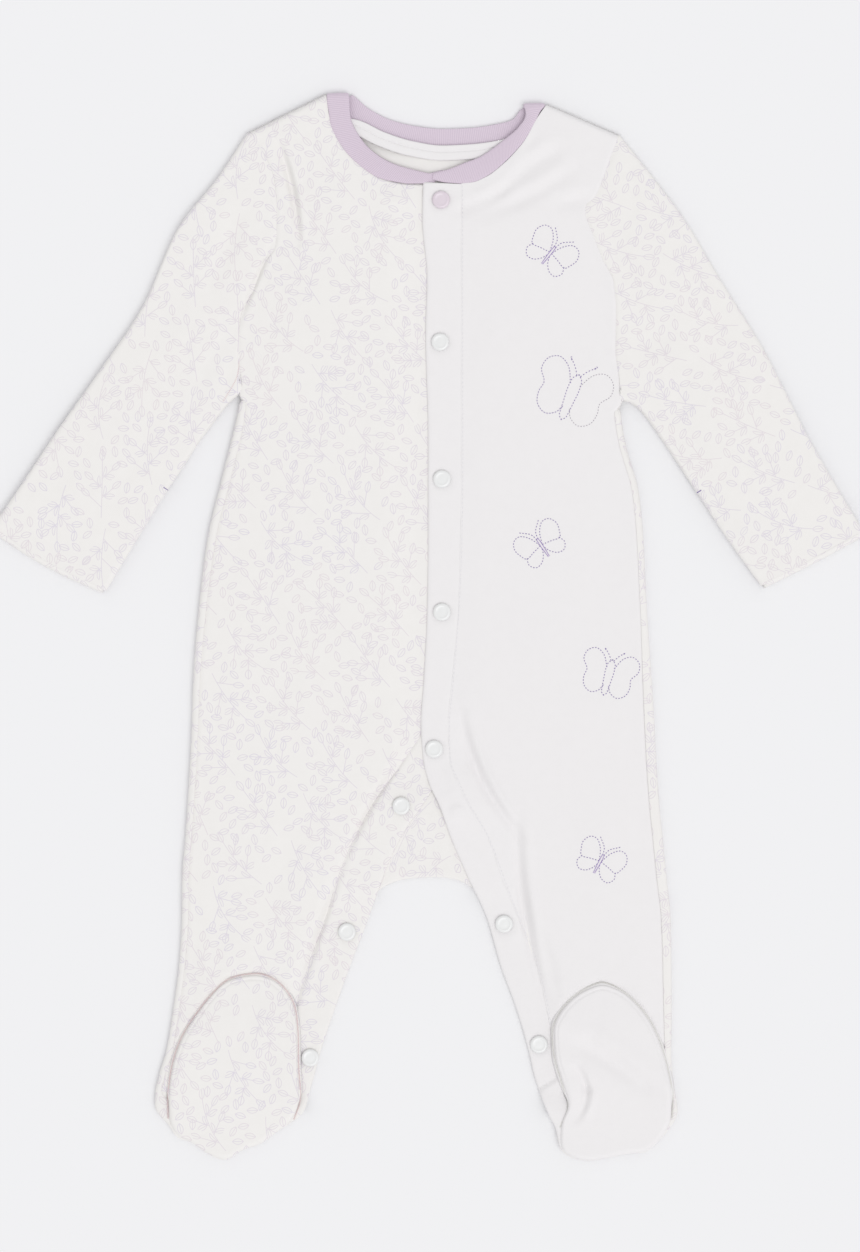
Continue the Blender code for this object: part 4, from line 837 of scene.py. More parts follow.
def interlock(name, light, shade, ink=None):
    """Cotton interlock: soft and matt, plain or printed with ink = (pale, deep)."""
    material, tree, shader = finish_of(
        name, light, 0.92, Specular_IOR_Level=0.25, Sheen_Weight=0.12, Sheen_Roughness=0.5,
    )
    cut = add(tree, "ShaderNodeUVMap", uv_map="cut").outputs[0]
    groups = bpy.data.node_groups
    knit = add(tree, "ShaderNodeGroup", {0: cut}, node_tree=groups["knit_surface"])
    colour = mixed(tree, knit.outputs[1], shade, light)
    if ink:
        leaves = add(tree, "ShaderNodeGroup", {0: cut}, node_tree=groups["leaf_sprig_print"])
        colour = mixed(tree, leaves.outputs[0], colour, mixed(tree, leaves.outputs[1], *ink))
    coat(tree, shader, colour, knit.outputs[0], 0.00006, 0.5)
    return material


def rib_material():
    """Lilac rib: the ribs are in the mesh, this adds painted shade in their furrows and the yarn.
    """
    material, tree, shader = finish_of(
        "lilac_rib_knit", LILAC, 0.9, Specular_IOR_Level=0.25, Sheen_Weight=0.15,
    )
    cut = add(tree, "ShaderNodeUVMap", uv_map="cut").outputs[0]
    x, y = cut_axes(tree, cut, 1000.0)
    furrow = (x * (TURN / RIB_PITCH)).make("COSINE") * 0.5 + 0.5
    stitch = (y * (TURN / 0.75)).make("SINE") * 0.15
    # painted shade in the rib furrows, with random unevenness of the yarn
    level = furrow * 0.8 + Wire(tree, noise(tree, cut, 900.0)) * 0.25
    colour = mixed(tree, level, LILAC_FURROW_SHADE, LILAC)
    coat(tree, shader, colour, furrow + stitch, 0.0001, 0.6)
    return material


def speckled(finish, shade, colour, scale, detail, distance, strength):
    """Completes a finish with faint marks that change its colour and its surface."""
    material, tree, shader = finish
    where = tree.nodes.new("ShaderNodeTexCoord").outputs["Object"]
    marks = noise(tree, where, scale, detail)
    coat(tree, shader, mixed(tree, marks, shade, colour), marks, distance, strength)
    return material


def thread_material(name, colour, roughness=0.55):
    """Sewing thread: a twisted, slightly shiny strand."""
    shade = tuple(c * 0.82 for c in colour)
    return speckled(finish_of(name, colour, roughness), shade, colour, 2600.0, 2.0, 0.0001, 0.4)


def snap_material(name, colour, shade):
    """Moulded snap cap: smooth, slightly translucent looking, with faint flow marks."""
    finish = finish_of(name, colour, 0.28, Coat_Weight=0.35, Coat_Roughness=0.15)
    return speckled(finish, shade, colour, 220.0, 3.0, 0.00005, 0.3)


# ---- front panels ----
EDGE = (0.0, 0.25, 0.6, 1.0, 1.5, 2.2, 3.2)   # distances of the close stations from a free edge
SEAM_DIP = {"right": 0.5, "left": 0.12}       # how deep a front's seam with its placket lies
HIDDEN_TAIL = (3.0, 6.0, 9.0, 12.0)           # how far a front runs on under its sole
CORNERS = (0, 1, 2, 3)                        # columns of the two ends of a section
LOW_EDGE = 3.3       # height of a front's edge where no side rolls over it
BACK_STEP = 2.8      # distance between the stations of the back
FRONT_STEP = 1.9     # between a front's sections
CELL = 1.7           # across a front or a placket
FOOT_LINE = -150     # above this a front never lies under a foot


def side_xy(row):
    return np.hstack([row.side_x, row.side_y])


def seam_xy(row):
    return np.hstack([row.seam_x, row.seam_y])


def front_edge_inset(row):
    """How far a front's side edge lies inside the outline of the body."""
    rolled = row.height / 2 + row.wrap + LAP
    return row.turn**3 * rolled + (1 - row.turn) * np.where(row.side_y > 0, 0.0, 1.4)


def front_height(x, y, row, from_seam, from_side, sole):
    """Top of a front: low beside the seam, swelling, and level with the side roll at the side."""
    reach = from_seam + from_side
    middle = np.sin(np.pi * np.clip(from_seam / (reach + 1e-6), 0, 1))
    full = TOP + CROWN * middle * np.minimum(1.0, reach / 60)
    swell = 0.3 * row.puff * bell(from_seam - row.flat - row.rise, 12)
    level = row.height * row.turn + (1 - row.turn) * np.where(y > 0, TOP, LOW_EDGE)
    z = level + (full + swell - level) * ease(from_side / 14)
    z = row.edge_z + (z - row.edge_z) * ease((from_seam - row.flat) / (1.5 * row.rise))
    z = z - creased(x, y, FRONT_FOLDS)
    pressed = FOOT_UNDER - GAP
    low = pressed + (z - pressed) * ease((outside(x, y, sole) - FOOT_PRESS) / 4)
    return np.where(y < FOOT_LINE, low, z)


def build_front(side, seed, material):
    row = columns_of(side.half, split(side.half, 0, ANKLE, FRONT_STEP, CORNERS))
    tail = np.array(HIDDEN_TAIL)[:, None]
    last = [column[-1:] + tail * (-1 if k in (1, 3) else 0) for k, column in enumerate(row)]
    row = Half(*[np.vstack([column, more]) for column, more in zip(row, last)])
    seam, edge = seam_xy(row), side_xy(row)
    edge = edge - unit_rows(edge - seam) * front_edge_inset(row)
    x, y, from_seam, from_edge = strip(seam, edge, EDGE)
    z = front_height(x, y, row, from_seam, from_edge, side.sole)
    place = length_along(edge)[:, None]
    z = z - troughs(x, y, side.front_creases)
    loose = ease(from_edge / 10) * ease(from_seam / 10)
    z = z + rumple(x, y, seed, size=46, depth=0.16) * loose
    z = z - 0.45 * bell(from_edge, 1.0) - SEAM_DIP[side.name] * bell(from_seam, 1.0)
    z = z + pucker(place, from_edge, seed + 1, depth=0.16)
    z = z + pucker(place, from_seam, seed + 2, depth=0.10, pitch=9.0)
    from_shoulder = np.hypot(x - x[0], y - y[0])
    z = SHOULDER_SEAM + (z - SHOULDER_SEAM) * rounded(from_shoulder, EDGE_ROLL)
    grid = np.stack([x, y, z], axis=-1)

    def on_shoulder_seam(points):
        return np.min([np.linalg.norm(points - spot, axis=1) for spot in grid[0]], axis=0) < 0.02

    name, flip = f"front_{side.name}_panel", side.hand < 0
    cloth_piece(name, grid, grid[..., :2], flip, material, level_edge=on_shoulder_seam)


# ---- the back ----
ROLL_FINE = 10       # steps round the rolled side
ROLL_COLUMNS = ROLL_FINE + 5
HIDDEN_ROLL = 9      # columns of a heel that its corner roll replaces
CORNER_TURN = 30     # rows of the roll round a heel's outer corner
CORNER_REACH = 10.0  # how far that roll reaches in under the sole
CROTCH_CELLS = 16
LEG_CELLS = 34
SHOULDER_FINE = 20
HEEL_FOLD = 2.6      # radius of the turned-up heel
HEEL_POINTS = 300    # spaces along a heel's edge, from corner to corner
CORNER_LIFT = ((0, 0.2, 0.35, 0.65, 1), (0, 0.1, 0.3, 0.3, -0.9))   # share of the way, height
WEB_TOP = 4.6        # height of a web at the tip of the gap
WEB_FALL = 0.9       # how much lower it ends
WEB_CELLS = 9
# Top of the gap below each arm, and how far its web reaches down the sleeve and down the body.
PIT_WEBS = [
    ((-105.4, 137.0), (-110.6, 127.6), (-105.2, 125.6), False),
    ((108.2, 131.6), (114.0, 125.8), (107.6, 121.0), True),
]
# The heel's edge on the sole: how far in each line lies, and how high it stands over the rim.
HEEL_EDGE = ((0.3, 0.5), (1.0, 0.9), (2.2, 1.1), (4.0, 1.0), (6.5, 0.6), (10.0, 0.0))


def side_roll(row):
    """Insets and heights of the columns that roll up at a side, from its free edge inward."""
    radius = row.height / 2
    rolled = [(radius + row.wrap * s, row.height) for s in (1.0, 0.75, 0.5, 0.25)]
    for a in np.linspace(math.pi / 2, -math.pi / 2, ROLL_FINE + 1):
        rolled.append((radius - radius * math.cos(a), radius + radius * math.sin(a)))
    insets, heights = [], []
    for k, (inset, z) in enumerate(rolled):
        share = (k / (ROLL_COLUMNS - 1)) ** 1.3
        flat = np.where(row.side_y > 0, FLAT_INSET, ANKLE_INSET) * share
        insets.append(flat + (inset - flat) * row.turn)
        heights.append(z * row.turn)
    return np.hstack(insets), np.hstack(heights)


def side_line(row, toward):
    """Points of the rolled side of each section, from the free edge to the flat part."""
    insets, heights = side_roll(row)
    flat = side_xy(row)[:, None, :] + toward[:, None, :] * insets[..., None]
    return np.concatenate([flat, heights[..., None]], axis=2)


def flat_between(first, last, share):
    """Points on the surface between two lines, section by section."""
    middle = first[:, None] + (last - first)[:, None] * share[None, :, None]
    return np.concatenate([middle, np.zeros_like(middle[..., :1])], axis=2)


def body_grid(stations, share):
    """The back from the shoulders to the crotch: rolled sides and a flat middle."""
    right, left = columns_of(RIGHT, stations), columns_of(LEFT, stations)
    toward = unit_rows(side_xy(left) - side_xy(right))
    a, b = side_line(right, toward), side_line(left, -toward)[:, ::-1]
    return np.concatenate([a, flat_between(a[:, -1, :2], b[:, 0, :2], share[1:-1]), b], axis=1)


def leg_grid(side, stations):
    """The back of one leg, from its rolled side to the free edge of the placket."""
    row = columns_of(side.half, stations)
    inner = along(side.free, np.array(stations) - NECK_CORNER)[:, :2]
    a = side_line(row, unit_rows(inner - side_xy(row)))
    middle = flat_between(a[:, -1, :2], inner, np.linspace(0, 1, LEG_CELLS + 1)[1:])
    return np.concatenate([a, middle], axis=1)


def pit_web(tip, arm, body):
    """The cloth that closes the top of the gap between a sleeve and the body."""
    tip, arm, body = np.array(tip), np.array(arm), np.array(body)
    share = np.linspace(0, 1, WEB_CELLS)[:, None]
    rows = []
    for down in share[:, 0]:
        reach = down * (1 - 0.4 * np.sin(np.pi * share))
        line = tip + (arm - tip) * reach * (1 - share) + (body - tip) * reach * share
        line = line + (body - arm) / np.linalg.norm(body - arm) * (share - 0.5) * 3.0
        rows.append(np.column_stack([line, WEB_TOP - WEB_FALL * reach]))
    return np.array(rows)


def corner_roll(side, ankle):
    """The side roll carried on from the ankle round the heel's outer corner."""
    row = columns_of(side.half, [ANKLE])
    insets, heights = side_roll(row)
    edge = side_xy(row)
    path = smooth_line(np.vstack([edge, side.heel[:4]]), CORNER_TURN)
    share = np.linspace(0, 1, CORNER_TURN)[:, None]
    lift = np.interp(share, *CORNER_LIFT)
    centre = np.array(side.foot_middle) + [0, -14.0]
    turning = ease(share / 0.3)
    start = unit_rows(ankle[:1, :2] - edge)
    inward = unit_rows(start * (1 - turning) + unit_rows(centre - path) * turning)
    wrap = np.clip(1 - np.arange(ROLL_COLUMNS) / 4, 0, 1)
    insets = insets + (CORNER_REACH - insets[0, 0]) * wrap * ease(share / 0.25)
    at = path[:, None] + inward[:, None] * insets[..., None]
    corner = np.concatenate([at, (heights + lift * ease(heights / 3))[..., None]], axis=2)
    corner[0] = ankle[:ROLL_COLUMNS]
    return corner


def heel_rows(ankle, heel):
    """From the ankle line to the turned-up heel edge."""
    reach = length_along(ankle[:, :2])
    edge = evenly(heel, HEEL_POINTS)
    share = reach / reach[-1] * (HEEL_POINTS - 1)
    bottom = np.stack([np.interp(share, range(HEEL_POINTS), column) for column in edge.T], axis=1)
    drop = bottom - ankle[:, :2]
    back = drop / np.linalg.norm(drop, axis=1)[:, None] * HEEL_FOLD
    below_corner = 1 - 0.35 * (1 - ease(np.linalg.norm(bottom - edge[0], axis=1) / 12))
    rows = []
    for s in np.linspace(0, 1, 15)[1:]:
        rows.append(np.column_stack([ankle[:, :2] + (drop - back) * s, ankle[:, 2]]))
    for angle in np.radians(np.linspace(-90, 0, 7)[1:]):
        z = np.maximum(ankle[:, 2], 2.4 * (1 + math.sin(angle)))
        rows.append(np.column_stack([bottom - back * (1 - math.cos(angle)), z]))
    rows += [np.column_stack([bottom, z * below_corner]) for z in (2.9, 3.4, HEEL_RIM)]
    inward = unit_rows(bottom.mean(axis=0) + [0, 14.0] - bottom)
    for inset, z in HEEL_EDGE:
        rows.append(np.column_stack([bottom + inward * inset, (HEEL_RIM + z) * below_corner]))
    return np.array(rows)


def shoulder_line(wide):
    """The top edge of the back: shoulder, back neck seam, shoulder."""
    lines = []
    for half in (RIGHT, LEFT):
        tip = np.array([half[0].side_x, half[0].side_y])
        neck = np.array([half[0].seam_x, half[0].seam_y])
        length = np.linalg.norm(neck - tip)
        rolled = FLAT_INSET * (np.arange(ROLL_COLUMNS) / (ROLL_COLUMNS - 1)) ** 1.3
        insets = np.concatenate([rolled, np.linspace(FLAT_INSET, length, SHOULDER_FINE + 1)[1:]])
        lines.append(tip + (neck - tip) / length * insets[:, None])
    count = wide - 2 * (ROLL_COLUMNS + SHOULDER_FINE)
    rows = along(RIB_BACK, np.linspace(1, len(RIB_BACK) - 2, count))
    seam = rows[:, :2] + unit_rows(rows[:, :2] - rows[:, 2:]) * LAP
    return np.vstack([lines[0], seam, lines[1][::-1]])


def crotch_tongue(fold):
    """The crotch turned up on the front of the back, and its flat pattern."""
    spread = np.linspace(-1, 1, len(fold))
    share = np.linspace(0, 1, len(fold))
    level = 2 * CROTCH_TURN
    fold = fold + np.column_stack([spread * 3.6, -7.0 * np.abs(spread) ** 3, spread * 0])
    lines = [fold]
    for angle in np.radians(np.linspace(-90, 90, 9)[1:]):
        plan = fold[:, :2] - [0, CROTCH_TURN * math.cos(angle)]
        lines.append(at_height(plan, CROTCH_TURN * (1 + math.sin(angle))))
    plans = [lines[-1][:, :2]]
    for right, left, y in along(TONGUE, np.linspace(0, len(TONGUE) - 1, 16)):
        plans.append(at_height((right + (left - right) * share)[:, None], y))
    for s in (0.25, 0.5, 0.75):
        lines.append(at_height(plans[0] + (plans[1] - plans[0]) * s, level))
    lines += [at_height(plan, level) for plan in plans[1:]]
    for further in (2.0, 4.5, 7.0, 9.5, 12.0):
        lines.append(at_height(plans[-1] + [0.0, further], level - 0.04 * further))
    grid = np.array(lines)
    x, y = grid[..., 0], grid[..., 1]
    grid[..., 2] -= troughs(x, y, CROTCH_CREASES) * (grid[..., 2] > level - 0.1)
    flat = grid[..., :2].copy()
    flat[..., 1] = fold[:, 1] - length_along(grid[:, len(fold) // 2])[:, None]
    return grid, flat


def back_body():
    """The back above the crotch."""
    whole = split(RIGHT, 0, CROTCH, BACK_STEP, CORNERS)
    right, left = columns_of(RIGHT, [CROTCH]), columns_of(LEFT, [CROTCH])
    first = right.side_x[0, 0] + side_roll(right)[0][0, -1]
    last = left.side_x[0, 0] - side_roll(left)[0][0, -1]
    ends = [(x - first) / (last - first) for x in (CROTCH_RIGHT[0], CROTCH_LEFT[0])]
    marks = [0, *ends, 1]
    share = np.concatenate([
        np.linspace(marks[0], marks[1], LEG_CELLS + 1),
        np.linspace(marks[1], marks[2], CROTCH_CELLS + 1)[1:],
        np.linspace(marks[2], marks[3], LEG_CELLS + 1)[1:],
    ])
    grid = body_grid(whole, share)
    wide = grid.shape[1]
    flat_part = slice(ROLL_COLUMNS - 1, wide - ROLL_COLUMNS + 1)
    sides = grid[-1, ROLL_COLUMNS - 1, :2], grid[-1, -ROLL_COLUMNS, :2]
    line = np.array([sides[0], CROTCH_RIGHT, CROTCH_LEFT, sides[1]])
    settle = ease((np.array(whole) - CROTCH + 2) / 2)[:, None]
    for k in (0, 1):
        body = grid[:, flat_part, k]
        grid[:, flat_part, k] = body + (np.interp(share, marks, line[:, k]) - body[-1]) * settle
    top = shoulder_line(wide)
    fade = np.clip(1 - np.array(whole), 0, 1)[:, None, None]
    below = body_grid([1], share)[0, :, :2]
    grid[:, :, :2] = np.where(fade > 0, top + (below - top) * (1 - fade), grid[:, :, :2])
    sewn = ROLL_COLUMNS + SHOULDER_FINE
    away = np.linalg.norm(grid[..., :2] - top, axis=2)
    lift = (SHOULDER_SEAM - LAP) * (1 - rounded(away, EDGE_ROLL))
    lift[:, sewn:wide - sewn] = 0
    lift[np.array(whole) > 1] = 0
    grid[..., 2] += lift
    x, y = grid[..., 0], grid[..., 1]
    relaxed = ease((269 - y) / 8) * ease((y - 215) / 30) * ease((62 - np.abs(x)) / 20)
    grid[..., 2] += 1.6 * relaxed * (grid[..., 2] < 0.1)
    return grid


def build_back(material, inside):
    grid = back_body()
    cloth = Cloth()
    cloth.grid(grid, developed(grid, grid.shape[1] // 2), True)
    stations = split(RIGHT, CROTCH, ANKLE, BACK_STEP, CORNERS)
    for side in SIDES:
        flip = side.hand < 0
        leg = leg_grid(side, stations)
        leg[0] = grid[-1, ::-side.hand][:ROLL_COLUMNS + LEG_CELLS]
        corner = corner_roll(side, leg[-1])
        last = len(leg)
        leg = np.concatenate([leg, heel_rows(leg[-1], side.heel)])
        cut = developed(leg, ROLL_COLUMNS + 10)
        cloth.grid(leg[:last], cut[:last], flip)
        cloth.grid(leg[last - 1:, HIDDEN_ROLL:], cut[last - 1:, HIDDEN_ROLL:], flip)
        cloth.grid(corner, developed(corner, 7), flip)
    for tip, arm, body, flip in PIT_WEBS:
        web = pit_web(tip, arm, body)
        cloth.grid(web, web[..., :2], flip)
    start = ROLL_COLUMNS + LEG_CELLS - 1
    cloth.grid(*crotch_tongue(grid[-1, start:start + CROTCH_CELLS + 1]), True)

    def on_shoulder_seam(points):
        return (points[:, 2] > SHOULDER_SEAM - 0.2) & (points[:, 1] > 270)

    cloth.piece("back_panel", INTERLOCK, material, on_shoulder_seam, inside)


# ---- sleeves and mitts ----
SLEEVE_EDGE = (0.0, 0.12, 0.4, 0.8, 1.3, 1.9, 2.6, 3.6)
SLEEVE_GRAIN = 38    # degrees from the body's grain to a sleeve's
PIT_SHIFT = (-2.6, -1.4)                 # how far a sleeve's corner at the pit moves in and down
PIT_REACH = 9.0
# Past its armhole seam a sleeve runs on inside the body, further near the pit, and thinner.
ALLOWANCE, PIT_ALLOWANCE = (3.0, -0.6, 0), (3.0, -3.0, 0)
ALLOWANCE_MIDDLE, ALLOWANCE_THINNING = 2.8, 0.45
NEAR_HEM = (0.06, 0.035, 0.018, 0.008)   # further stations, counted in rows from the sleeve's end
NEAR_SEAM = (0.02, 0.05)                 # and from the armhole
MITT_LINES = 34
MITT_CELLS = 40
# The mitt's fold past the sleeve end: how high up the hem each line lies, and how far it reaches.
MITT_FOLD = (
    (0.3, 1.55), (0.6, 1.3), (0.82, 0.8), (0.94, 0.25), (1.0, -0.5), (1.0, -1.4), (0.85, -2.0),
)


def armhole(half):
    """The armhole seam, with the share of its length at each point."""
    points = along(half, split(half, 0, UNDERARM, 2.0))[:, :2]
    reach = length_along(points)
    return points, reach / reach[-1]


def sleeve_edges(side, stations):
    """The outer and the underarm edge of a sleeve, with its height and lift."""
    row = columns_of(side.sleeve, stations)
    outer, under = np.hstack([row.outer_x, row.outer_y]), np.hstack([row.under_x, row.under_y])
    return outer, under, row.height, row.lift


def sleeve_top(side, outer, under):
    """Plan of a sleeve's top at each section: points from the underarm edge to the outer edge."""
    seam, seam_share = armhole(side.half)
    width = np.linalg.norm(under - outer, axis=1)[:, None]
    from_outer = across(width[:, 0], SLEEVE_EDGE)[:, ::-1]
    share = from_outer / width
    centre = (outer + under) / 2
    gone, to_hem = (np.linalg.norm(centre - centre[k], axis=1)[:, None] for k in (0, -1))
    line = outer[:, None] + (under - outer)[:, None] * share[..., None]
    bow = seam - (outer[0] + (under[0] - outer[0]) * seam_share[:, None])
    bent = np.stack([np.interp(share, seam_share, column) for column in bow.T], axis=-1)
    line = line + bent * (np.maximum(0.0, 1 - gone / 60) ** 2)[..., None]
    down = np.column_stack([(under - outer)[:, 1], -(under - outer)[:, 0]]) / width
    down = down * np.where(down[:, 1:] < 0, 1, -1)
    hem = np.maximum(0.0, 1 - to_hem / 25)
    line = line + down[:, None] * (np.sin(np.pi * share) * side.hem_bow * hem)[..., None]
    return line, from_outer, width - from_outer, gone, to_hem


def build_sleeve(side, seed, material):
    end = len(side.sleeve) - 1
    stations = split(side.sleeve, 0, end, STEP, CORNERS)
    stations = sorted({*stations, *(end - s for s in NEAR_HEM), *NEAR_SEAM})
    outer, under, height, lift = sleeve_edges(side, stations)
    line, from_outer, from_under, gone, to_hem = sleeve_top(side, outer, under)
    near = np.minimum(from_outer, from_under)
    round_off = rounded(near, EDGE_ROLL)
    from_pit = np.linalg.norm(line - line[0, 0], axis=2)
    near_pit = bell(from_pit, PIT_REACH) * (1 - np.exp(-gone / 2))
    line = line + near_pit[..., None] * [side.hand, 1] * PIT_SHIFT
    line[0] += np.array([side.hand, -0.3]) * LAP
    middle, half_height = lift + height / 2, height / 2 * round_off
    x, y = line[..., 0], line[..., 1]
    top = middle + half_height - creased(x, y, SLEEVE_FOLDS) * (round_off > 0.9)
    soft = ease(near / 8)
    place = np.cumsum(np.ones_like(x), axis=1) * STEP
    dip = troughs(x, y, side.sleeve_creases)
    dip = dip + 0.5 * bell(gone, 1.1) + 0.2 * (1 - rounded(to_hem, 1.6))
    top = top + (rumple(x, y, seed, size=40, depth=0.2) - dip) * soft
    top = top + pucker(place, gone, seed + 1, depth=0.16, pitch=6.0, reach=6.0) * soft
    upper = np.stack([x, y, top], axis=-1)
    lower = np.stack([x, y, middle - half_height], axis=-1)[:, ::-1]
    ring = np.concatenate([upper, lower[:, 1:]], axis=1)
    pit = bell(np.linalg.norm(ring[:1, :, :2] - ring[0, 0, :2], axis=2), 6)[..., None]
    mirror = np.array([side.hand, 1, 1])
    allowance = ring[:1] - mirror * ALLOWANCE - pit * mirror * PIT_ALLOWANCE
    above = allowance[..., 2] - ALLOWANCE_MIDDLE
    allowance[..., 2] = ALLOWANCE_MIDDLE + above * ALLOWANCE_THINNING
    ring = np.concatenate([allowance, ring])
    flat = developed(ring, upper.shape[1] // 2)
    flat = turned(flat, -side.hand * SLEEVE_GRAIN, (40 * seed, 25 * seed))
    cloth_piece(f"sleeve_{side.name}_tube", ring, flat, side.hand < 0, material)


def build_mitt(side, seed, material):
    """The flap under a sleeve end; its fold at the hem turns up past the sleeve's edge."""
    outer, under, _, _ = sleeve_edges(side, np.linspace(*MITT_ROWS, MITT_LINES))
    unit = unit_rows(under - outer)
    share = np.linspace(0, 1, MITT_CELLS + 1)[:, None]
    inset = 1.2
    a, b = outer + unit * inset, under - unit * inset
    lines = a[:, None] * (1 - share) + b[:, None] * share
    down = np.array([unit[-1][1], -unit[-1][0]])
    down = down * (1 if down[1] < 0 else -1)
    edge = lines[-1] + down * (np.sin(np.pi * share) * side.hem_bow) + down * 0.4
    ease_in = (np.linspace(0, 1, MITT_LINES) ** 4)[:, None, None]
    lines = lines + (edge - down * 1.4 - lines[-1])[None] * ease_in
    grid = [at_height(line, 0.0) for line in lines]
    for angle in np.radians(np.linspace(-80, 0, 7)):
        reach, z = min(-1.0 + 2.6 * math.cos(angle), 1.6), 1.5 * (1 + math.sin(angle))
        grid.append(at_height(edge + down * reach, z))
    grid.append(at_height(edge + down * 1.65, 2.3))
    near = np.minimum(share, 1 - share)[:, 0] * np.linalg.norm(under[-1] - outer[-1])
    end = side.sleeve[-1]
    hem = end.lift + end.height / 2 * (1 + rounded(near, EDGE_ROLL)) + 0.05
    for part, reach in MITT_FOLD:
        grid.append(at_height(edge + down * reach, 2.6 + (hem - 2.6) * part))
    grid = np.array(grid)
    flat = grid[:1, :, :2] + down * length_along(grid[:, MITT_CELLS // 2])[:, None, None]
    flat = turned(flat, -side.hand * SLEEVE_GRAIN, (30 * seed, 55))
    cloth_piece(f"mitt_{side.name}_flap", grid, flat, side.hand < 0, material)


# ---- plackets, rib and tape ----
PLACKET_EDGE = (0.0, 0.3, 0.8, 1.4, 2.2)
PLACKET_STEP = 1.3   # between a placket's sections
# The back's heel laps over the end of the plain placket along a slanting edge.
HeelLap = namedtuple("HeelLap", "x y across down")
HEEL_LAP = HeelLap(63.2, -259.4, 0.537, 0.845)


def build_placket(side, heel, snaps, seed, material):
    """A strip from its seam with the front to its folded free edge."""
    plain_side = side.hand > 0
    stations = split(side.half, NECK_CORNER, ANKLE, PLACKET_STEP, (2, 3))
    seam = seam_xy(columns_of(side.half, stations))
    edges = along(side.free, np.array(stations) - NECK_CORNER)
    seam = seam + unit_rows(edges[:, :2] - seam) * LAP
    tail = evenly(np.array([edges[-1, :2], *heel]), 5 * len(heel) + 1)[1:]
    gone = ease(np.arange(1, len(tail) + 1) / 6)
    seam = np.vstack([seam, np.column_stack([seam[-1, 0] + side.hand * 5.0 * gone, tail[:, 1]])])
    edges = np.vstack([edges, np.column_stack([tail, edges[-1, 2] + 2.3 * gone])])
    x, y, from_seam, from_free = strip(seam, edges[:, :2], PLACKET_EDGE)
    place = length_along(edges[:, :2])[:, None]
    z = edges[:, 2:3] + CLOTH - 1.2 * (1 - rounded(from_free, 2.2))
    z = z - SEAM_DIP[side.name] * bell(from_seam, 1.0)
    z = z + pucker(place, from_free, seed, depth=0.12, pitch=11.0, reach=4.0)
    z = z + pucker(place, from_seam, seed + 1, depth=0.08, pitch=8.0, reach=4.0)
    for snap in snaps:
        far = np.hypot(x - snap.x, y - snap.y)
        if snap.name == COVERED_SNAP:
            z = z + 0.9 * bell(far, 4.6, 6)
        else:
            z = z - 0.3 * bell(far, 6.5, 4) + 0.12 * bell(far - 9.0, 2.2)
    z = z + rumple(x, y, seed + 2, size=30, depth=0.08) - troughs(x, y, side.front_creases)
    if plain_side:
        over = (x - HEEL_LAP.x) * HEEL_LAP.across - (y - HEEL_LAP.y) * HEEL_LAP.down
        z = z + 0.7 * ease(over / 0.9) * ease((14 - over) / 8) - 0.6 * bell(over + 0.5, 0.8)
    grid = np.stack([x, y, z], axis=-1)
    grid = np.concatenate([grid, grid[:, -1:] - [0, 0, 1.1]], axis=1)
    flat = turned(grid[..., :2], 0, (31 * seed, 17))
    cloth_piece(f"placket_{side.name}_strip", grid, flat, plain_side, material)


def span_points(rows, z):
    """Seam point and free point of each rib section."""
    rows = np.asarray(rows, float)
    return np.stack([at_height(rows[:, :2], z), at_height(rows[:, 2:], z)], axis=1)


def fold_over(row):
    """The rib turning over a shoulder, from the front's level down to the surface."""
    radius = NECK_TOP / 2
    lines = []
    for angle in np.radians(np.linspace(90, -90, 13)):
        line = span_points([row], radius * (1 + math.sin(angle)))[0]
        lines.append(line + [0, radius * math.cos(angle) - radius, 0])
    return np.array(lines)


def rib_path():
    """The rib's seam and free edge, from its right end round the neck to its left one."""
    path = np.concatenate([
        span_points([RIB_RIGHT_TUCK], NECK_TOP - 1.7),
        span_points([RIB_RIGHT_END], NECK_TOP),
        span_points(along(RIB_RIGHT, np.linspace(0.19, 5, 60)[::-1]), NECK_TOP),
        fold_over(RIB_RIGHT[0]),
        span_points(along(RIB_BACK, np.linspace(0.4, len(RIB_BACK) - 1.4, 120)), 0.0),
        fold_over(RIB_LEFT[0])[::-1],
        span_points(along(RIB_LEFT, np.linspace(0.36, NECK_CORNER, 72)), NECK_TOP),
        span_points(RIB_LEFT_ENDS, NECK_TOP),
    ])
    outward = unit_rows((path[:, 0] - path[:, 1])[:, :2])
    shoulder = ease((path[:, 0, 1] - 286) / 8) * 0.9
    on_front = ease(path[:, 0, 2] / 2)
    path[:, 0, :2] += outward * ((0.6 + shoulder) * on_front + 1.5 * (1 - on_front))[:, None]
    return path


RIB_SHARES = (0, 0.02, 0.05, 0.1, 0.17, 0.28, 0.42, 0.56, 0.7, 0.82, 0.91, 0.96, 1.0)
RIB_DEPTH = 0.045
TAPE_WIDTH = 8.6
TAPE_FOLD = 0.44     # share of the tape's width at which its groove runs
TAPE_SHARES = (
    0, 0.03, 0.08, 0.16, 0.28, 0.36, 0.41, 0.44, 0.47, 0.52, 0.6, 0.72, 0.84, 0.92, 0.97, 1.0,
)


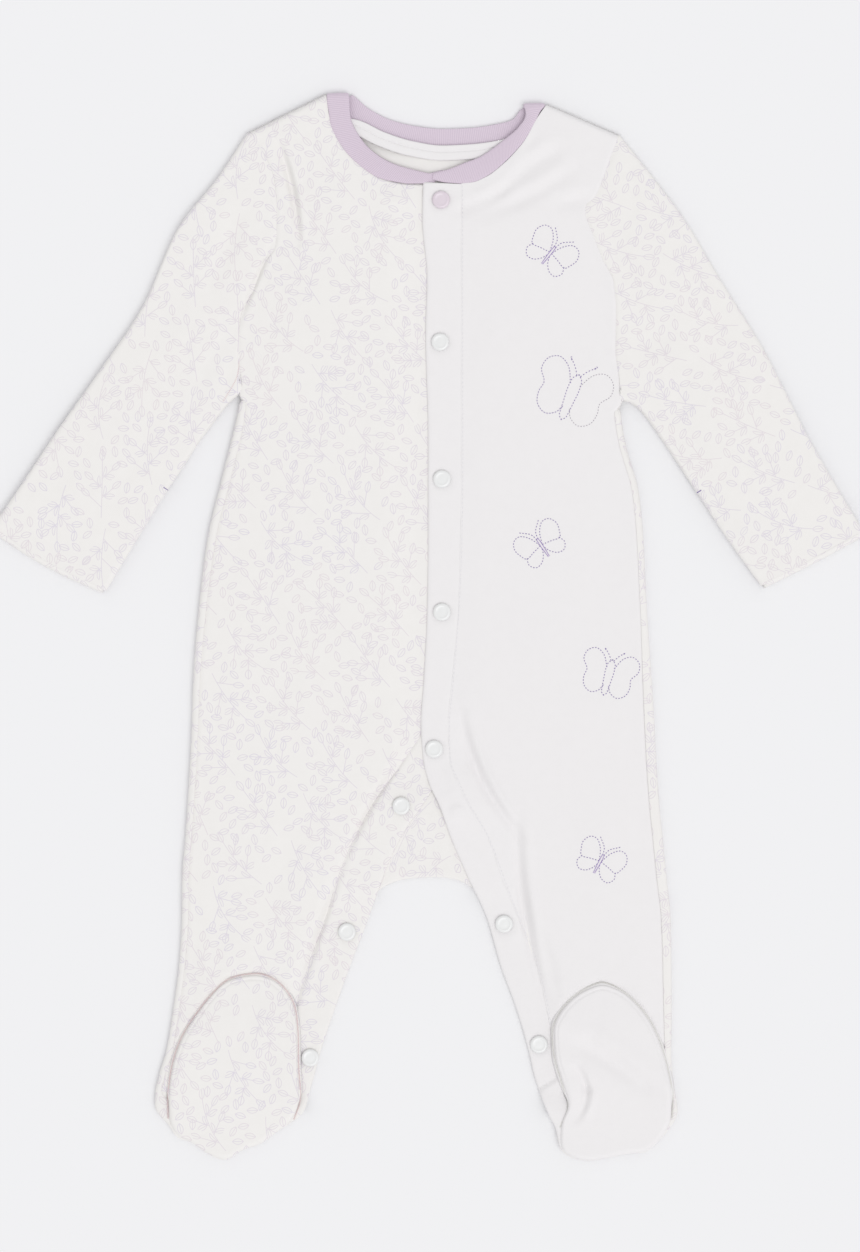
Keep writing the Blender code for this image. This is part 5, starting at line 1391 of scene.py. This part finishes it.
def build_neck_rib(material):
    path = rib_path()
    reach = length_along(path.mean(axis=1))
    keep = np.concatenate([[True], np.diff(reach) > 1e-6])
    steps = np.arange(0, reach[-1], RIB_PITCH / 5)
    columns = path[keep].reshape(-1, 6).T
    even = np.stack([np.interp(steps, reach[keep], column) for column in columns], axis=-1)
    even = softened(even.reshape(-1, 2, 3), 9)
    share = np.array(RIB_SHARES)
    grid = even[:, :1] + (even[:, 1:] - even[:, :1]) * share[None, :, None]
    normal = np.cross(np.gradient(grid, axis=1), np.gradient(grid, axis=0))
    normal = normal / np.maximum(np.linalg.norm(normal, axis=2, keepdims=True), 1e-9)
    width = np.linalg.norm(even[:, 1] - even[:, 0], axis=1)[:, None]
    from_seam = share * width
    from_free = width - from_seam
    ribs = RIB_DEPTH * np.cos(steps * TURN / RIB_PITCH)[:, None]
    ribs = ribs * ease(from_free / 1.5) * ease(from_seam / 1.2)
    sink = 0.7 * (1 - rounded(from_free, 1.3)) + 0.9 * (1 - rounded(from_seam, 1.3))
    crown = 0.25 * np.sin(np.pi * share)
    on_top = ease((grid[..., 2] - 1.0) / 2.5)
    grid = grid + normal * ((ribs + crown - sink) * on_top)[..., None]
    grid[..., 2] = np.maximum(grid[..., 2], 0.0)
    flat = np.stack(np.broadcast_arrays(steps[:, None], from_seam), axis=-1)
    cloth_piece("neck_rib_binding", grid, flat, True, material, RIB_WALL)


def build_neck_tape(material):
    """The tape lies over the back neck seam, from one front to the other."""
    rows = along(RIB_BACK, np.linspace(2.3, 9.8, 90))
    seam, away = rows[:, :2], unit_rows(rows[:, :2] - rows[:, 2:])
    at = np.array(TAPE_SHARES) * TAPE_WIDTH
    line = (seam + away * 0.9)[:, None] + away[:, None] * at[None, :, None]
    sink = 0.5 * (1 - rounded(at, 0.8)) + 0.5 * (1 - rounded(TAPE_WIDTH - at, 0.8))
    sink = sink + 0.5 * bell(at - TAPE_FOLD * TAPE_WIDTH, 0.3)
    z = RIB + GAP + TAPE - sink + rumple(*line.transpose(2, 0, 1), seed=5, size=18, depth=0.06)
    grid = np.concatenate([line, z[..., None]], axis=2)
    cloth_piece("neck_tape_strip", grid, grid[..., :2], True, material, TAPE_WALL)


# ---- feet ----
DOME_INSETS = (0.0, 0.1, 0.3, 0.6, 1.0, 1.5, 2.0, 2.6, 3.4, 4.4, 5.6, 7.0)
# The seam allowance of a sole: how far out and how far down each line of it lies.
SOLE_ALLOWANCE = ((2.3, 2.7), (1.7, 1.9), (1.5, 1.35), (1.1, 1.1), (0.5, 1.05), (0.1, 0.85))
SOLE_GRAIN = {"right": 12, "left": 0}
INSTEP_GRAIN = {"right": 8, "left": 0}


def rim_loop(rim, count):
    loop = evenly([*rim, rim[0]], count + 1)[:-1]
    return softened(np.concatenate([loop[-6:], loop, loop[:6]]), 3)[6:-6]


def dome_rings(rim, centre, level, radius, scales):
    """Rings from a rim inward: rounded at the rim, then at the level's height."""
    spoke = rim[:, :2] - centre
    length = np.linalg.norm(spoke, axis=1)[:, None]
    rings = []
    for inset in DOME_INSETS:
        flat = rim[:, :2] - spoke / length * inset
        z = rim[:, 2] + (level(*flat.T, inset) - rim[:, 2]) * rounded(inset, radius)
        rings.append(np.column_stack([flat, z]))
    for scale in scales:
        flat = centre + spoke * (1 - DOME_INSETS[-1] / length) * scale
        rings.append(np.column_stack([flat, level(*flat.T, 9.0)]))
    return rings


def foot_piece(name, rings, grain, shift, flip, material):
    """A closed piece from its rings."""
    rings = np.array(rings).transpose(1, 0, 2)
    rings = np.concatenate([rings, rings[:1]])
    cloth_piece(name, rings, turned(rings[..., :2], grain, shift), flip, material)


def build_sole(side, seed, material):
    centre = np.array(side.foot_middle)

    def level(x, y, inset):
        """Top of the sole: lower at heel and toe, with a groove inside its seam."""
        z = FOOT_TOP - 1.2 * ease((-250 - y) / 40) - 1.4 * ease((y + 228) / 26)
        z = z - 0.5 * bell(inset - 1.9, 0.5) * ease((y + 262) / 12)
        z = z - creased(x, y, SOLE_FOLDS) - troughs(x, y, side.sole_creases)
        return z + rumple(x, y, seed, size=30, depth=0.2)

    loop = rim_loop(side.sole, 150)
    away = unit_rows(loop[:, :2] - centre)
    sewn = np.maximum(0.04, ease((loop[:, 1:2] + 270) / 14))
    rings = [
        np.hstack([loop[:, :2] + away * out * sewn, loop[:, 2:] - down * sewn])
        for out, down in SOLE_ALLOWANCE
    ]
    rings += dome_rings(loop, centre, level, 1.1 * EDGE_ROLL, np.linspace(0.95, 0.0, 17))
    grain, shift = SOLE_GRAIN[side.name], (9 * seed, 3 * seed)
    foot_piece(f"sole_{side.name}_panel", rings, grain, shift, side.hand > 0, material)


def build_instep(side, seed, material):
    """The instep: under the sole, with the same outline at the toe, cut straight at the ankle."""
    arch = np.array(side.sole[-ARCH_ROWS + 1:] + side.sole[:ARCH_ROWS])
    arch[:, 2] = FOOT_SEAM
    ankle = [arch[-1] + (arch[0] - arch[-1]) * share for share in (0.25, 0.5, 0.75)]
    loop = rim_loop([*arch, *at_height(np.array(ankle)[:, :2], FOOT_UNDER + 0.3)], 120)
    centre = np.array(side.foot_middle) + [0, 14.0]

    def level(x, y, inset):
        return x * 0 + FOOT_UNDER

    rings = dome_rings(loop, centre, level, EDGE_ROLL, np.linspace(0.9, 0.0, 10))
    name, grain = f"foot_upper_{side.name}_panel", INSTEP_GRAIN[side.name]
    foot_piece(name, rings, grain, (5 * seed, 11), side.hand < 0, material)


# ---- stitches ----
Stitch = namedtuple("Stitch", "pitch length width height turn")
OUTLINE_STITCH = Stitch(1.6, 1.08, 0.56, 0.3, 0.0)
PALE_STITCH = Stitch(1.6, 1.06, 0.5, 0.3, 0.0)
SATIN_STITCH = Stitch(0.4, 0.6, 0.42, 0.3, math.pi / 2)
TOP_STITCH = Stitch(2.5, 1.8, 0.42, 0.3, 0.0)
ARMPIT_STITCH = Stitch(0.9, 1.1, 0.35, 0.3, 0.8)
TACK_STITCH = Stitch(0.8, 1.2, 0.7, 0.4, 0.3)
SOLE_STITCH = Stitch(0.8, 1.3, 0.4, 0.5, 0.8)


def stitch_tree(name, material):
    """Stitches along a path: one rounded strand at every pitch, turned across the path."""
    labels = [field.title() for field in Stitch._fields]
    shapes = {"Geometry": "Geometry"}
    inputs = {**shapes, **{label: "Float" for label in labels}}
    tree, start = new_tree(name, inputs, shapes, "GeometryNodeTree")
    given = start.outputs

    def node(kind, inputs, **settings):
        return add(tree, kind, inputs, **settings).outputs

    curve = node("GeometryNodeMeshToCurve", {0: given["Geometry"]})
    points = node(
        "GeometryNodeCurveToPoints", {"Curve": curve[0], "Length": given["Pitch"]}, mode="LENGTH",
    )
    facing = node("FunctionNodeAlignRotationToVector", {"Vector": points["Tangent"]}, axis="X")
    angle = node("ShaderNodeCombineXYZ", {2: given["Turn"]})
    both = {"Rotation": facing[0], "Rotate By": angle[0]}
    turning = node("FunctionNodeRotateRotation", both, rotation_space="LOCAL")
    strand = node("GeometryNodeMeshUVSphere", {"Segments": 6, "Rings": 5, "Radius": 0.5})
    sizes = enumerate((given["Length"], given["Width"], given["Height"]))
    size = node("ShaderNodeCombineXYZ", sizes)
    shape = node("GeometryNodeTransform", {"Geometry": strand["Mesh"], "Scale": size[0]})
    stitch = {"Points": points["Points"], "Instance": shape[0], "Rotation": turning[0]}
    place = node("GeometryNodeInstanceOnPoints", stitch)
    real = node("GeometryNodeRealizeInstances", {0: place[0]})
    smooth = node("GeometryNodeSetShadeSmooth", {0: real[0]})
    paint = node("GeometryNodeSetMaterial", {0: smooth[0], "Material": material})
    node("NodeGroupOutput", {0: paint[0]})
    return tree


def sew(name, paths, tree, slot, stitch):
    """Runs the stitch tree along paths in millimetres and keeps its plain mesh."""
    points, edges = [], []
    for path in paths:
        base = len(points)
        points += [tuple(p) for p in np.asarray(path) * MM]
        edges += [(base + k, base + k + 1) for k in range(len(path) - 1)]
    mesh = bpy.data.meshes.new(name)
    mesh.from_pydata(points, edges, [])
    made = placed(name, mesh)
    modifier = made.modifiers.new("stitches", "NODES")
    modifier.node_group = tree
    for item in tree.interface.items_tree:
        if item.in_out == "INPUT" and item.name != "Geometry":
            size = getattr(stitch, item.name.lower())
            modifier[item.identifier] = size if item.name == "Turn" else size * MM
    graph = bpy.context.evaluated_depsgraph_get()
    plain_mesh = bpy.data.meshes.new_from_object(made.evaluated_get(graph))
    made.modifiers.remove(modifier)
    made.data = plain_mesh
    plain_mesh.name = name
    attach(made, "root")


def surface_of(*names):
    """A finder of the top of some pieces."""
    points, faces = [], []
    for name in names:
        mesh, base = bpy.data.objects[name].data, len(points)
        points += [v.co.copy() for v in mesh.vertices]
        faces += [[base + v for v in polygon.vertices] for polygon in mesh.polygons]
    return BVHTree.FromPolygons(points, faces)


def lie(surface, xy, lift=0.05):
    """Points in millimetres laid on a surface from above."""
    out = []
    for x, y in np.asarray(xy)[:, :2]:
        hit = surface.ray_cast(Vector((x * MM, y * MM, 0.05)), Vector((0, 0, -1)))[0]
        if hit is not None:
            out.append((x, y, hit.z / MM + lift))
    return np.array(out)


# ---- butterflies ----
# Half of each drawing, in units of its own; the other half is its mirror image.
ROUND_WING = table(Point, """
    1.9 4.6; 4.6 9.6; 8.8 11.9; 12.6 9.8; 13.4 5.4; 10.8 1.4; 11.3 -2.6; 10.2 -6.6; 6.6 -8.9
    3 -7.4; 1.4 -4.6
""")
LONG_BODY = table(Point, """
    0 8.2; 1.7 6.4; 2.1 2.6; 1.8 -2; 1.5 -6; 1.2 -7.8; 0 -8.9
""")
FEELER_KNOT = table(Point, """
    4.5 12.4; 5.1 12.6; 5 13.2; 4.4 13; 4.5 12.4
""")
ROUND_FEELER = table(Point, """
    0.8 8; 2.4 10.4; 4.6 12.6
""")
UPPER_LOBE = table(Point, """
    0.7 0.9; 2.6 5.4; 5.8 8.6; 9.2 8.2; 11 4.8; 10.2 1.2; 8.6 -1.4; 4.8 -0.6; 0.8 0.2
""")
LOWER_LOBE = table(Point, """
    8.6 -1.4; 9.4 -4.2; 7.4 -6.8; 4.2 -6.4; 1.8 -4; 0.7 -1.6
""")
SATIN_BODY = table(Point, """
    0.45 3.8; 0.55 0; 0.3 -5.6
""")
CURLED_FEELER = table(Point, """
    0.3 3.6; 1.4 6.8; 4.8 9.9
""")

Butterfly = namedtuple("Butterfly", "style x y scale tilt")
BUTTERFLIES = [
    Butterfly("small", 68.4, 208.6, 1.30, -38.0),
    Butterfly("round", 79.8, 128.6, 1.56, -22.0),
    Butterfly("small", 63.6, 45.0, 1.27, 34.0),
    Butterfly("round", 100.9, -28.4, 1.18, -15.0),
    Butterfly("small", 96.2, -132.0, 1.24, -28.0),
]
PALE_FROM = 1.4      # a round butterfly at least this large has one pale wing


def drawn(surface, half, butterfly, mirror):
    """A half drawing's line on the front, at its size, tilt and place."""
    line = np.array(half) * butterfly.scale * [-1 if mirror else 1, 1]
    line = turned(line, butterfly.tilt) + [butterfly.x, butterfly.y]
    return lie(surface, smooth_line(line, 60))


def sew_butterflies(surface):
    outline, pale_outline, satin = [], [], []
    for butterfly in BUTTERFLIES:
        for mirror in (False, True):
            def lines(*halves):
                return [drawn(surface, half, butterfly, mirror) for half in halves]

            if butterfly.style == "round":
                faint = butterfly.scale > PALE_FROM and not mirror
                (pale_outline if faint else outline).extend(lines(ROUND_WING))
                outline.extend(lines(LONG_BODY, ROUND_FEELER, FEELER_KNOT))
            else:
                outline.extend(lines(UPPER_LOBE, LOWER_LOBE, CURLED_FEELER))
                satin.extend(lines(SATIN_BODY))
    sew("butterfly_outlines", outline, violet_run, "plain_interlock", OUTLINE_STITCH)
    sew("butterfly_pale_wings", pale_outline, pale_run, "plain_interlock", PALE_STITCH)
    sew("butterfly_bodies", satin, satin_run, "plain_interlock", SATIN_STITCH)


# ---- snap caps ----
CAP_SIDES = 48
Ring = namedtuple("Ring", "radius up")
CAP_PROFILE = table(Ring, """
    0 0; 4.5 0; 4.85 0.12; 4.95 0.45; 4.86 0.85; 4.55 1.2; 4.05 1.44; 3.6 1.5; 3.3 1.44; 3.05 1.34
    2.6 1.3; 1.4 1.34; 0 1.36
""")
# A cap below the cloth that hides it.
COVERED_PROFILE = table(Ring, "0 -2.3; 4.2 -2.3; 4.3 -1.7; 3.8 -1.2; 0 -1.1")


def snap_cap(snap):
    """A pressed snap cap: rounded rim, a shallow ring and a flat middle."""
    node = "snap_cap_" + snap.name
    tint = "lilac" if snap.name == LILAC_SNAP else "white"
    profile = COVERED_PROFILE if snap.name == COVERED_SNAP else CAP_PROFILE
    low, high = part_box(node)
    x, y, base = (low[0] + high[0]) / 2, (low[1] + high[1]) / 2, low[2]
    points = [(x, y, base + profile[0].up * MM)]
    for ring in profile[1:-1]:
        for a in np.arange(CAP_SIDES) * 2 * math.pi / CAP_SIDES:
            out = ring.radius * MM
            points.append((x + np.cos(a) * out, y + np.sin(a) * out, base + ring.up * MM))
    points.append((x, y, base + profile[-1].up * MM))
    faces = []
    for k in range(CAP_SIDES):
        n = (k + 1) % CAP_SIDES
        faces.append((0, 1 + n, 1 + k))
        for a in range(1, len(points) - 1 - CAP_SIDES, CAP_SIDES):
            faces.append((a + k, a + n, a + CAP_SIDES + n, a + CAP_SIDES + k))
        last = len(points) - 1 - CAP_SIDES
        faces.append((last + k, last + n, len(points) - 1))
    mesh = bpy.data.meshes.new(node + "_dome")
    mesh.from_pydata(points, [], faces)
    mesh.shade_smooth()
    cap = placed(node + "_dome", mesh, snap_plastic[tint])
    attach(cap, "root")
    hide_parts(node)


# ---- finishes ----
leaf_sprig_print()
knit_surface()
printed = interlock("printed_interlock_cloth", CREAM, CREAM_SHADE, (INK_PALE, INK_DEEP))
plain = interlock("plain_interlock_cloth", WHITE, WHITE_SHADE)
unprinted = interlock("interlock_wrong_side", CREAM, CREAM_SHADE)
lilac_rib = rib_material()
THREADS = {
    "white_thread": (0.86, 0.85, 0.88),
    "violet_grey_thread": (0.29, 0.22, 0.46),
    "pale_grey_thread": (0.46, 0.43, 0.48),
    # olive grey: the plain sole's overlock thread, darkened as painted shade of its seam
    "olive_grey_thread": (0.80, 0.80, 0.75),
    "rose_brown_thread": (0.80, 0.62, 0.62),
}
thread = {name: thread_material(name, colour) for name, colour in THREADS.items()}
purple_thread = thread_material("purple_satin_thread", (0.46, 0.34, 0.66), 0.4)
snap_plastic = {
    "white": snap_material("white_snap_cap", (0.825, 0.83, 0.83), (0.79, 0.795, 0.795)),
    "lilac": snap_material("lilac_snap_cap", (0.75, 0.675, 0.735), (0.70, 0.615, 0.685)),
}

# ---- pieces ----
right_snaps = [snap for snap in SNAPS if snap.name.startswith("leg_right")]
left_snaps = [snap for snap in SNAPS if snap not in right_snaps]


def pair(build, seed, right_cloth, left_cloth):
    """The right and the left piece of a kind, each with its own seed."""
    build(RIGHT_SIDE, seed, right_cloth)
    build(LEFT_SIDE, seed + 1, left_cloth)


build_back(printed, unprinted)
pair(build_front, 21, printed, plain)
build_placket(RIGHT_SIDE, HEEL_RIGHT[:-3:-1], right_snaps, 31, printed)
build_placket(LEFT_SIDE, HEEL_LEFT[:-4:-1], left_snaps, 32, plain)
pair(build_sleeve, 3, printed, printed)
pair(build_mitt, 5, printed, printed)
build_neck_rib(lilac_rib)
build_neck_tape(plain)
pair(build_sole, 7, printed, plain)
pair(build_instep, 9, printed, plain)

Sheet = namedtuple("Sheet", "piece flat rests_on")
# The whole cut of each piece in metres, and the piece that it lies on.
SHEETS = [
    Sheet("back_panel", (0.30, 0.63), None),
    Sheet("front_right_panel", (0.155, 0.58), "back_panel"),
    Sheet("front_left_panel", (0.13, 0.58), "back_panel"),
    Sheet("placket_right_strip", (0.025, 0.54), "back_panel"),
    Sheet("placket_left_strip", (0.025, 0.54), "placket_right_strip"),
    Sheet("sleeve_right_tube", (0.26, 0.21), None),
    Sheet("sleeve_left_tube", (0.26, 0.21), None),
    Sheet("mitt_right_flap", (0.08, 0.075), "sleeve_right_tube"),
    Sheet("mitt_left_flap", (0.08, 0.075), "sleeve_left_tube"),
    Sheet("neck_rib_binding", (0.026, 0.30), "back_panel"),
    Sheet("neck_tape_strip", (0.0105, 0.115), "back_panel"),
    Sheet("sole_right_panel", (0.075, 0.106), "foot_upper_right_panel"),
    Sheet("sole_left_panel", (0.068, 0.102), "foot_upper_left_panel"),
    Sheet("foot_upper_right_panel", (0.074, 0.072), "front_right_panel"),
    Sheet("foot_upper_left_panel", (0.067, 0.070), "front_left_panel"),
]
LEAST_SHARE = 0.31   # of the whole cut that a sheet's shape takes up
for sheet in SHEETS:
    piece = bpy.data.objects[sheet.piece]
    whole = sheet.flat[0] * sheet.flat[1]
    area = max(min(piece["outer_area"], whole), LEAST_SHARE * whole)
    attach(piece, "root")
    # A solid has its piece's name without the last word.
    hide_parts(sheet.piece.rsplit("_", 1)[0])
for snap in SNAPS:
    snap_cap(snap)

# ---- sewing ----
violet_run = stitch_tree("running_stitch_violet", thread["violet_grey_thread"])
pale_run = stitch_tree("running_stitch_pale", thread["pale_grey_thread"])
satin_run = stitch_tree("satin_stitch_purple", purple_thread)
white_run = stitch_tree("running_stitch_white", thread["white_thread"])
rose_run = stitch_tree("overlock_stitch_rose", thread["rose_brown_thread"])

on_front = surface_of(
    "front_left_panel", "front_right_panel", "placket_left_strip", "placket_right_strip",
)
sew_butterflies(on_front)

# The topstitch beside the plain placket's seam.
TOPSTITCH = table(Point, """
    18.5 246; 18.5 160; 18.5 70.6; 16.8 14.6; 13.4 -30.2; 11.2 -52.6; 11.8 -75; 15.7 -85.7
    23 -100.8; 33.4 -119; 43.7 -146.7; 52.6 -169; 59.9 -187; 65.5 -209; 69.4 -232; 73 -252
""")
topstitch = lie(on_front, smooth_line(np.array(TOPSTITCH) + [0.9, 0.0], 700), 0.02)
sew("placket_topstitch", [topstitch], white_run, "plain_interlock", TOP_STITCH)

armpit = smooth_line([(-105.8, 148.0), (-106.8, 140.0), (-110.4, 132.6), (-114.6, 126.0)], 60)
armpit = lie(surface_of("sleeve_right_tube", "front_right_panel"), armpit, 0.0)
sew("overlock_armpit", [armpit], rose_run, "printed_interlock", ARMPIT_STITCH)

on_arms = surface_of("sleeve_right_tube", "sleeve_left_tube")
MITT_TACKS = (((-145.2, 75.9), (-147.6, 77.3)), ((150.2, 74.4), (152.6, 75.8)))
tacks = [lie(on_arms, np.linspace(*tack, 5), 0.1) for tack in np.array(MITT_TACKS)]
sew("mitt_bar_tacks", tacks, violet_run, "printed_interlock", TACK_STITCH)

# The overlock round each toe arch: partly the real seam's thread, partly a darker line of painted
# shadow where the sole's edge meets the leg. Both thread colours here stand in part for that
# shade.
SOLE_OVERLOCK_AND_SHADOW_LINE = (
    (RIGHT_SIDE, "rose_brown_thread", "printed_interlock"),
    (LEFT_SIDE, "olive_grey_thread", "plain_interlock"),
)
for side, colour, slot in SOLE_OVERLOCK_AND_SHADOW_LINE:
    name = "overlock_sole_" + side.name
    arch = np.array(side.sole[-ARCH_ROWS:] + side.sole[:ARCH_ROWS + 1])[:, :2]
    arch = smooth_line(arch, 400)
    edge = at_height(arch + unit_rows(arch - side.foot_middle) * 0.85, FOOT_SEAM)
    sew(name, [edge], stitch_tree(name + "_stitches", thread[colour]), slot, SOLE_STITCH)

# ---- floor, light and camera ----
FLOOR_Z = -0.0002
FLOOR_CORNERS = ((-2, -2), (2, -2), (2, 2), (-2, 2))
floor_mesh = bpy.data.meshes.new("floor")
floor_mesh.from_pydata([(x, y, FLOOR_Z) for x, y in FLOOR_CORNERS], [], [(0, 1, 2, 3)])
paper, _, _ = finish_of("pale_paper", (0.862, 0.862, 0.877), 1.0, Specular_IOR_Level=0.0)
floor = placed("floor", floor_mesh, paper)

SKY_STRENGTH = 0.77
scene = bpy.context.scene
scene.view_settings.view_transform = "Standard"
world = bpy.data.worlds.new("studio")
world.use_nodes = True
sky = world.node_tree.nodes["Background"].inputs
sky["Color"].default_value = (1.0, 1.0, 1.0, 1.0)
sky["Strength"].default_value = SKY_STRENGTH
scene.world = world

# Even light from above, from beyond the wearer's left foot, spread wide so that its shadows
# are soft.
TOWARD_LIGHT = (0.42, -0.62, 1.5)
key = bpy.data.lights.new("key_light", "SUN")
key.energy = 0.88
key.angle = math.radians(40.0)
lamp = bpy.data.objects.new("key_light", key)
lamp.location = TOWARD_LIGHT
lamp.rotation_mode = "QUATERNION"
lamp.rotation_quaternion = (-Vector(TOWARD_LIGHT)).to_track_quat("-Z", "Y")
scene.collection.objects.link(lamp)

PIXEL = 0.56 * MM    # width of one picture element at the suit
FRAME_HEIGHT = 1252  # picture elements
SENSOR = 36.0
DISTANCE = 2.6       # from the camera to the suit's middle layer
MIDDLE_LAYER = 0.005
camera_data = bpy.data.cameras.new("camera")
camera_data.sensor_width = SENSOR
camera_data.lens = SENSOR * DISTANCE / (FRAME_HEIGHT * PIXEL)
camera_data.clip_end = 20.0
camera = bpy.data.objects.new("camera", camera_data)
camera.location = (2.0 * PIXEL, 0.0, DISTANCE + MIDDLE_LAYER)
scene.collection.objects.link(camera)
scene.camera = camera
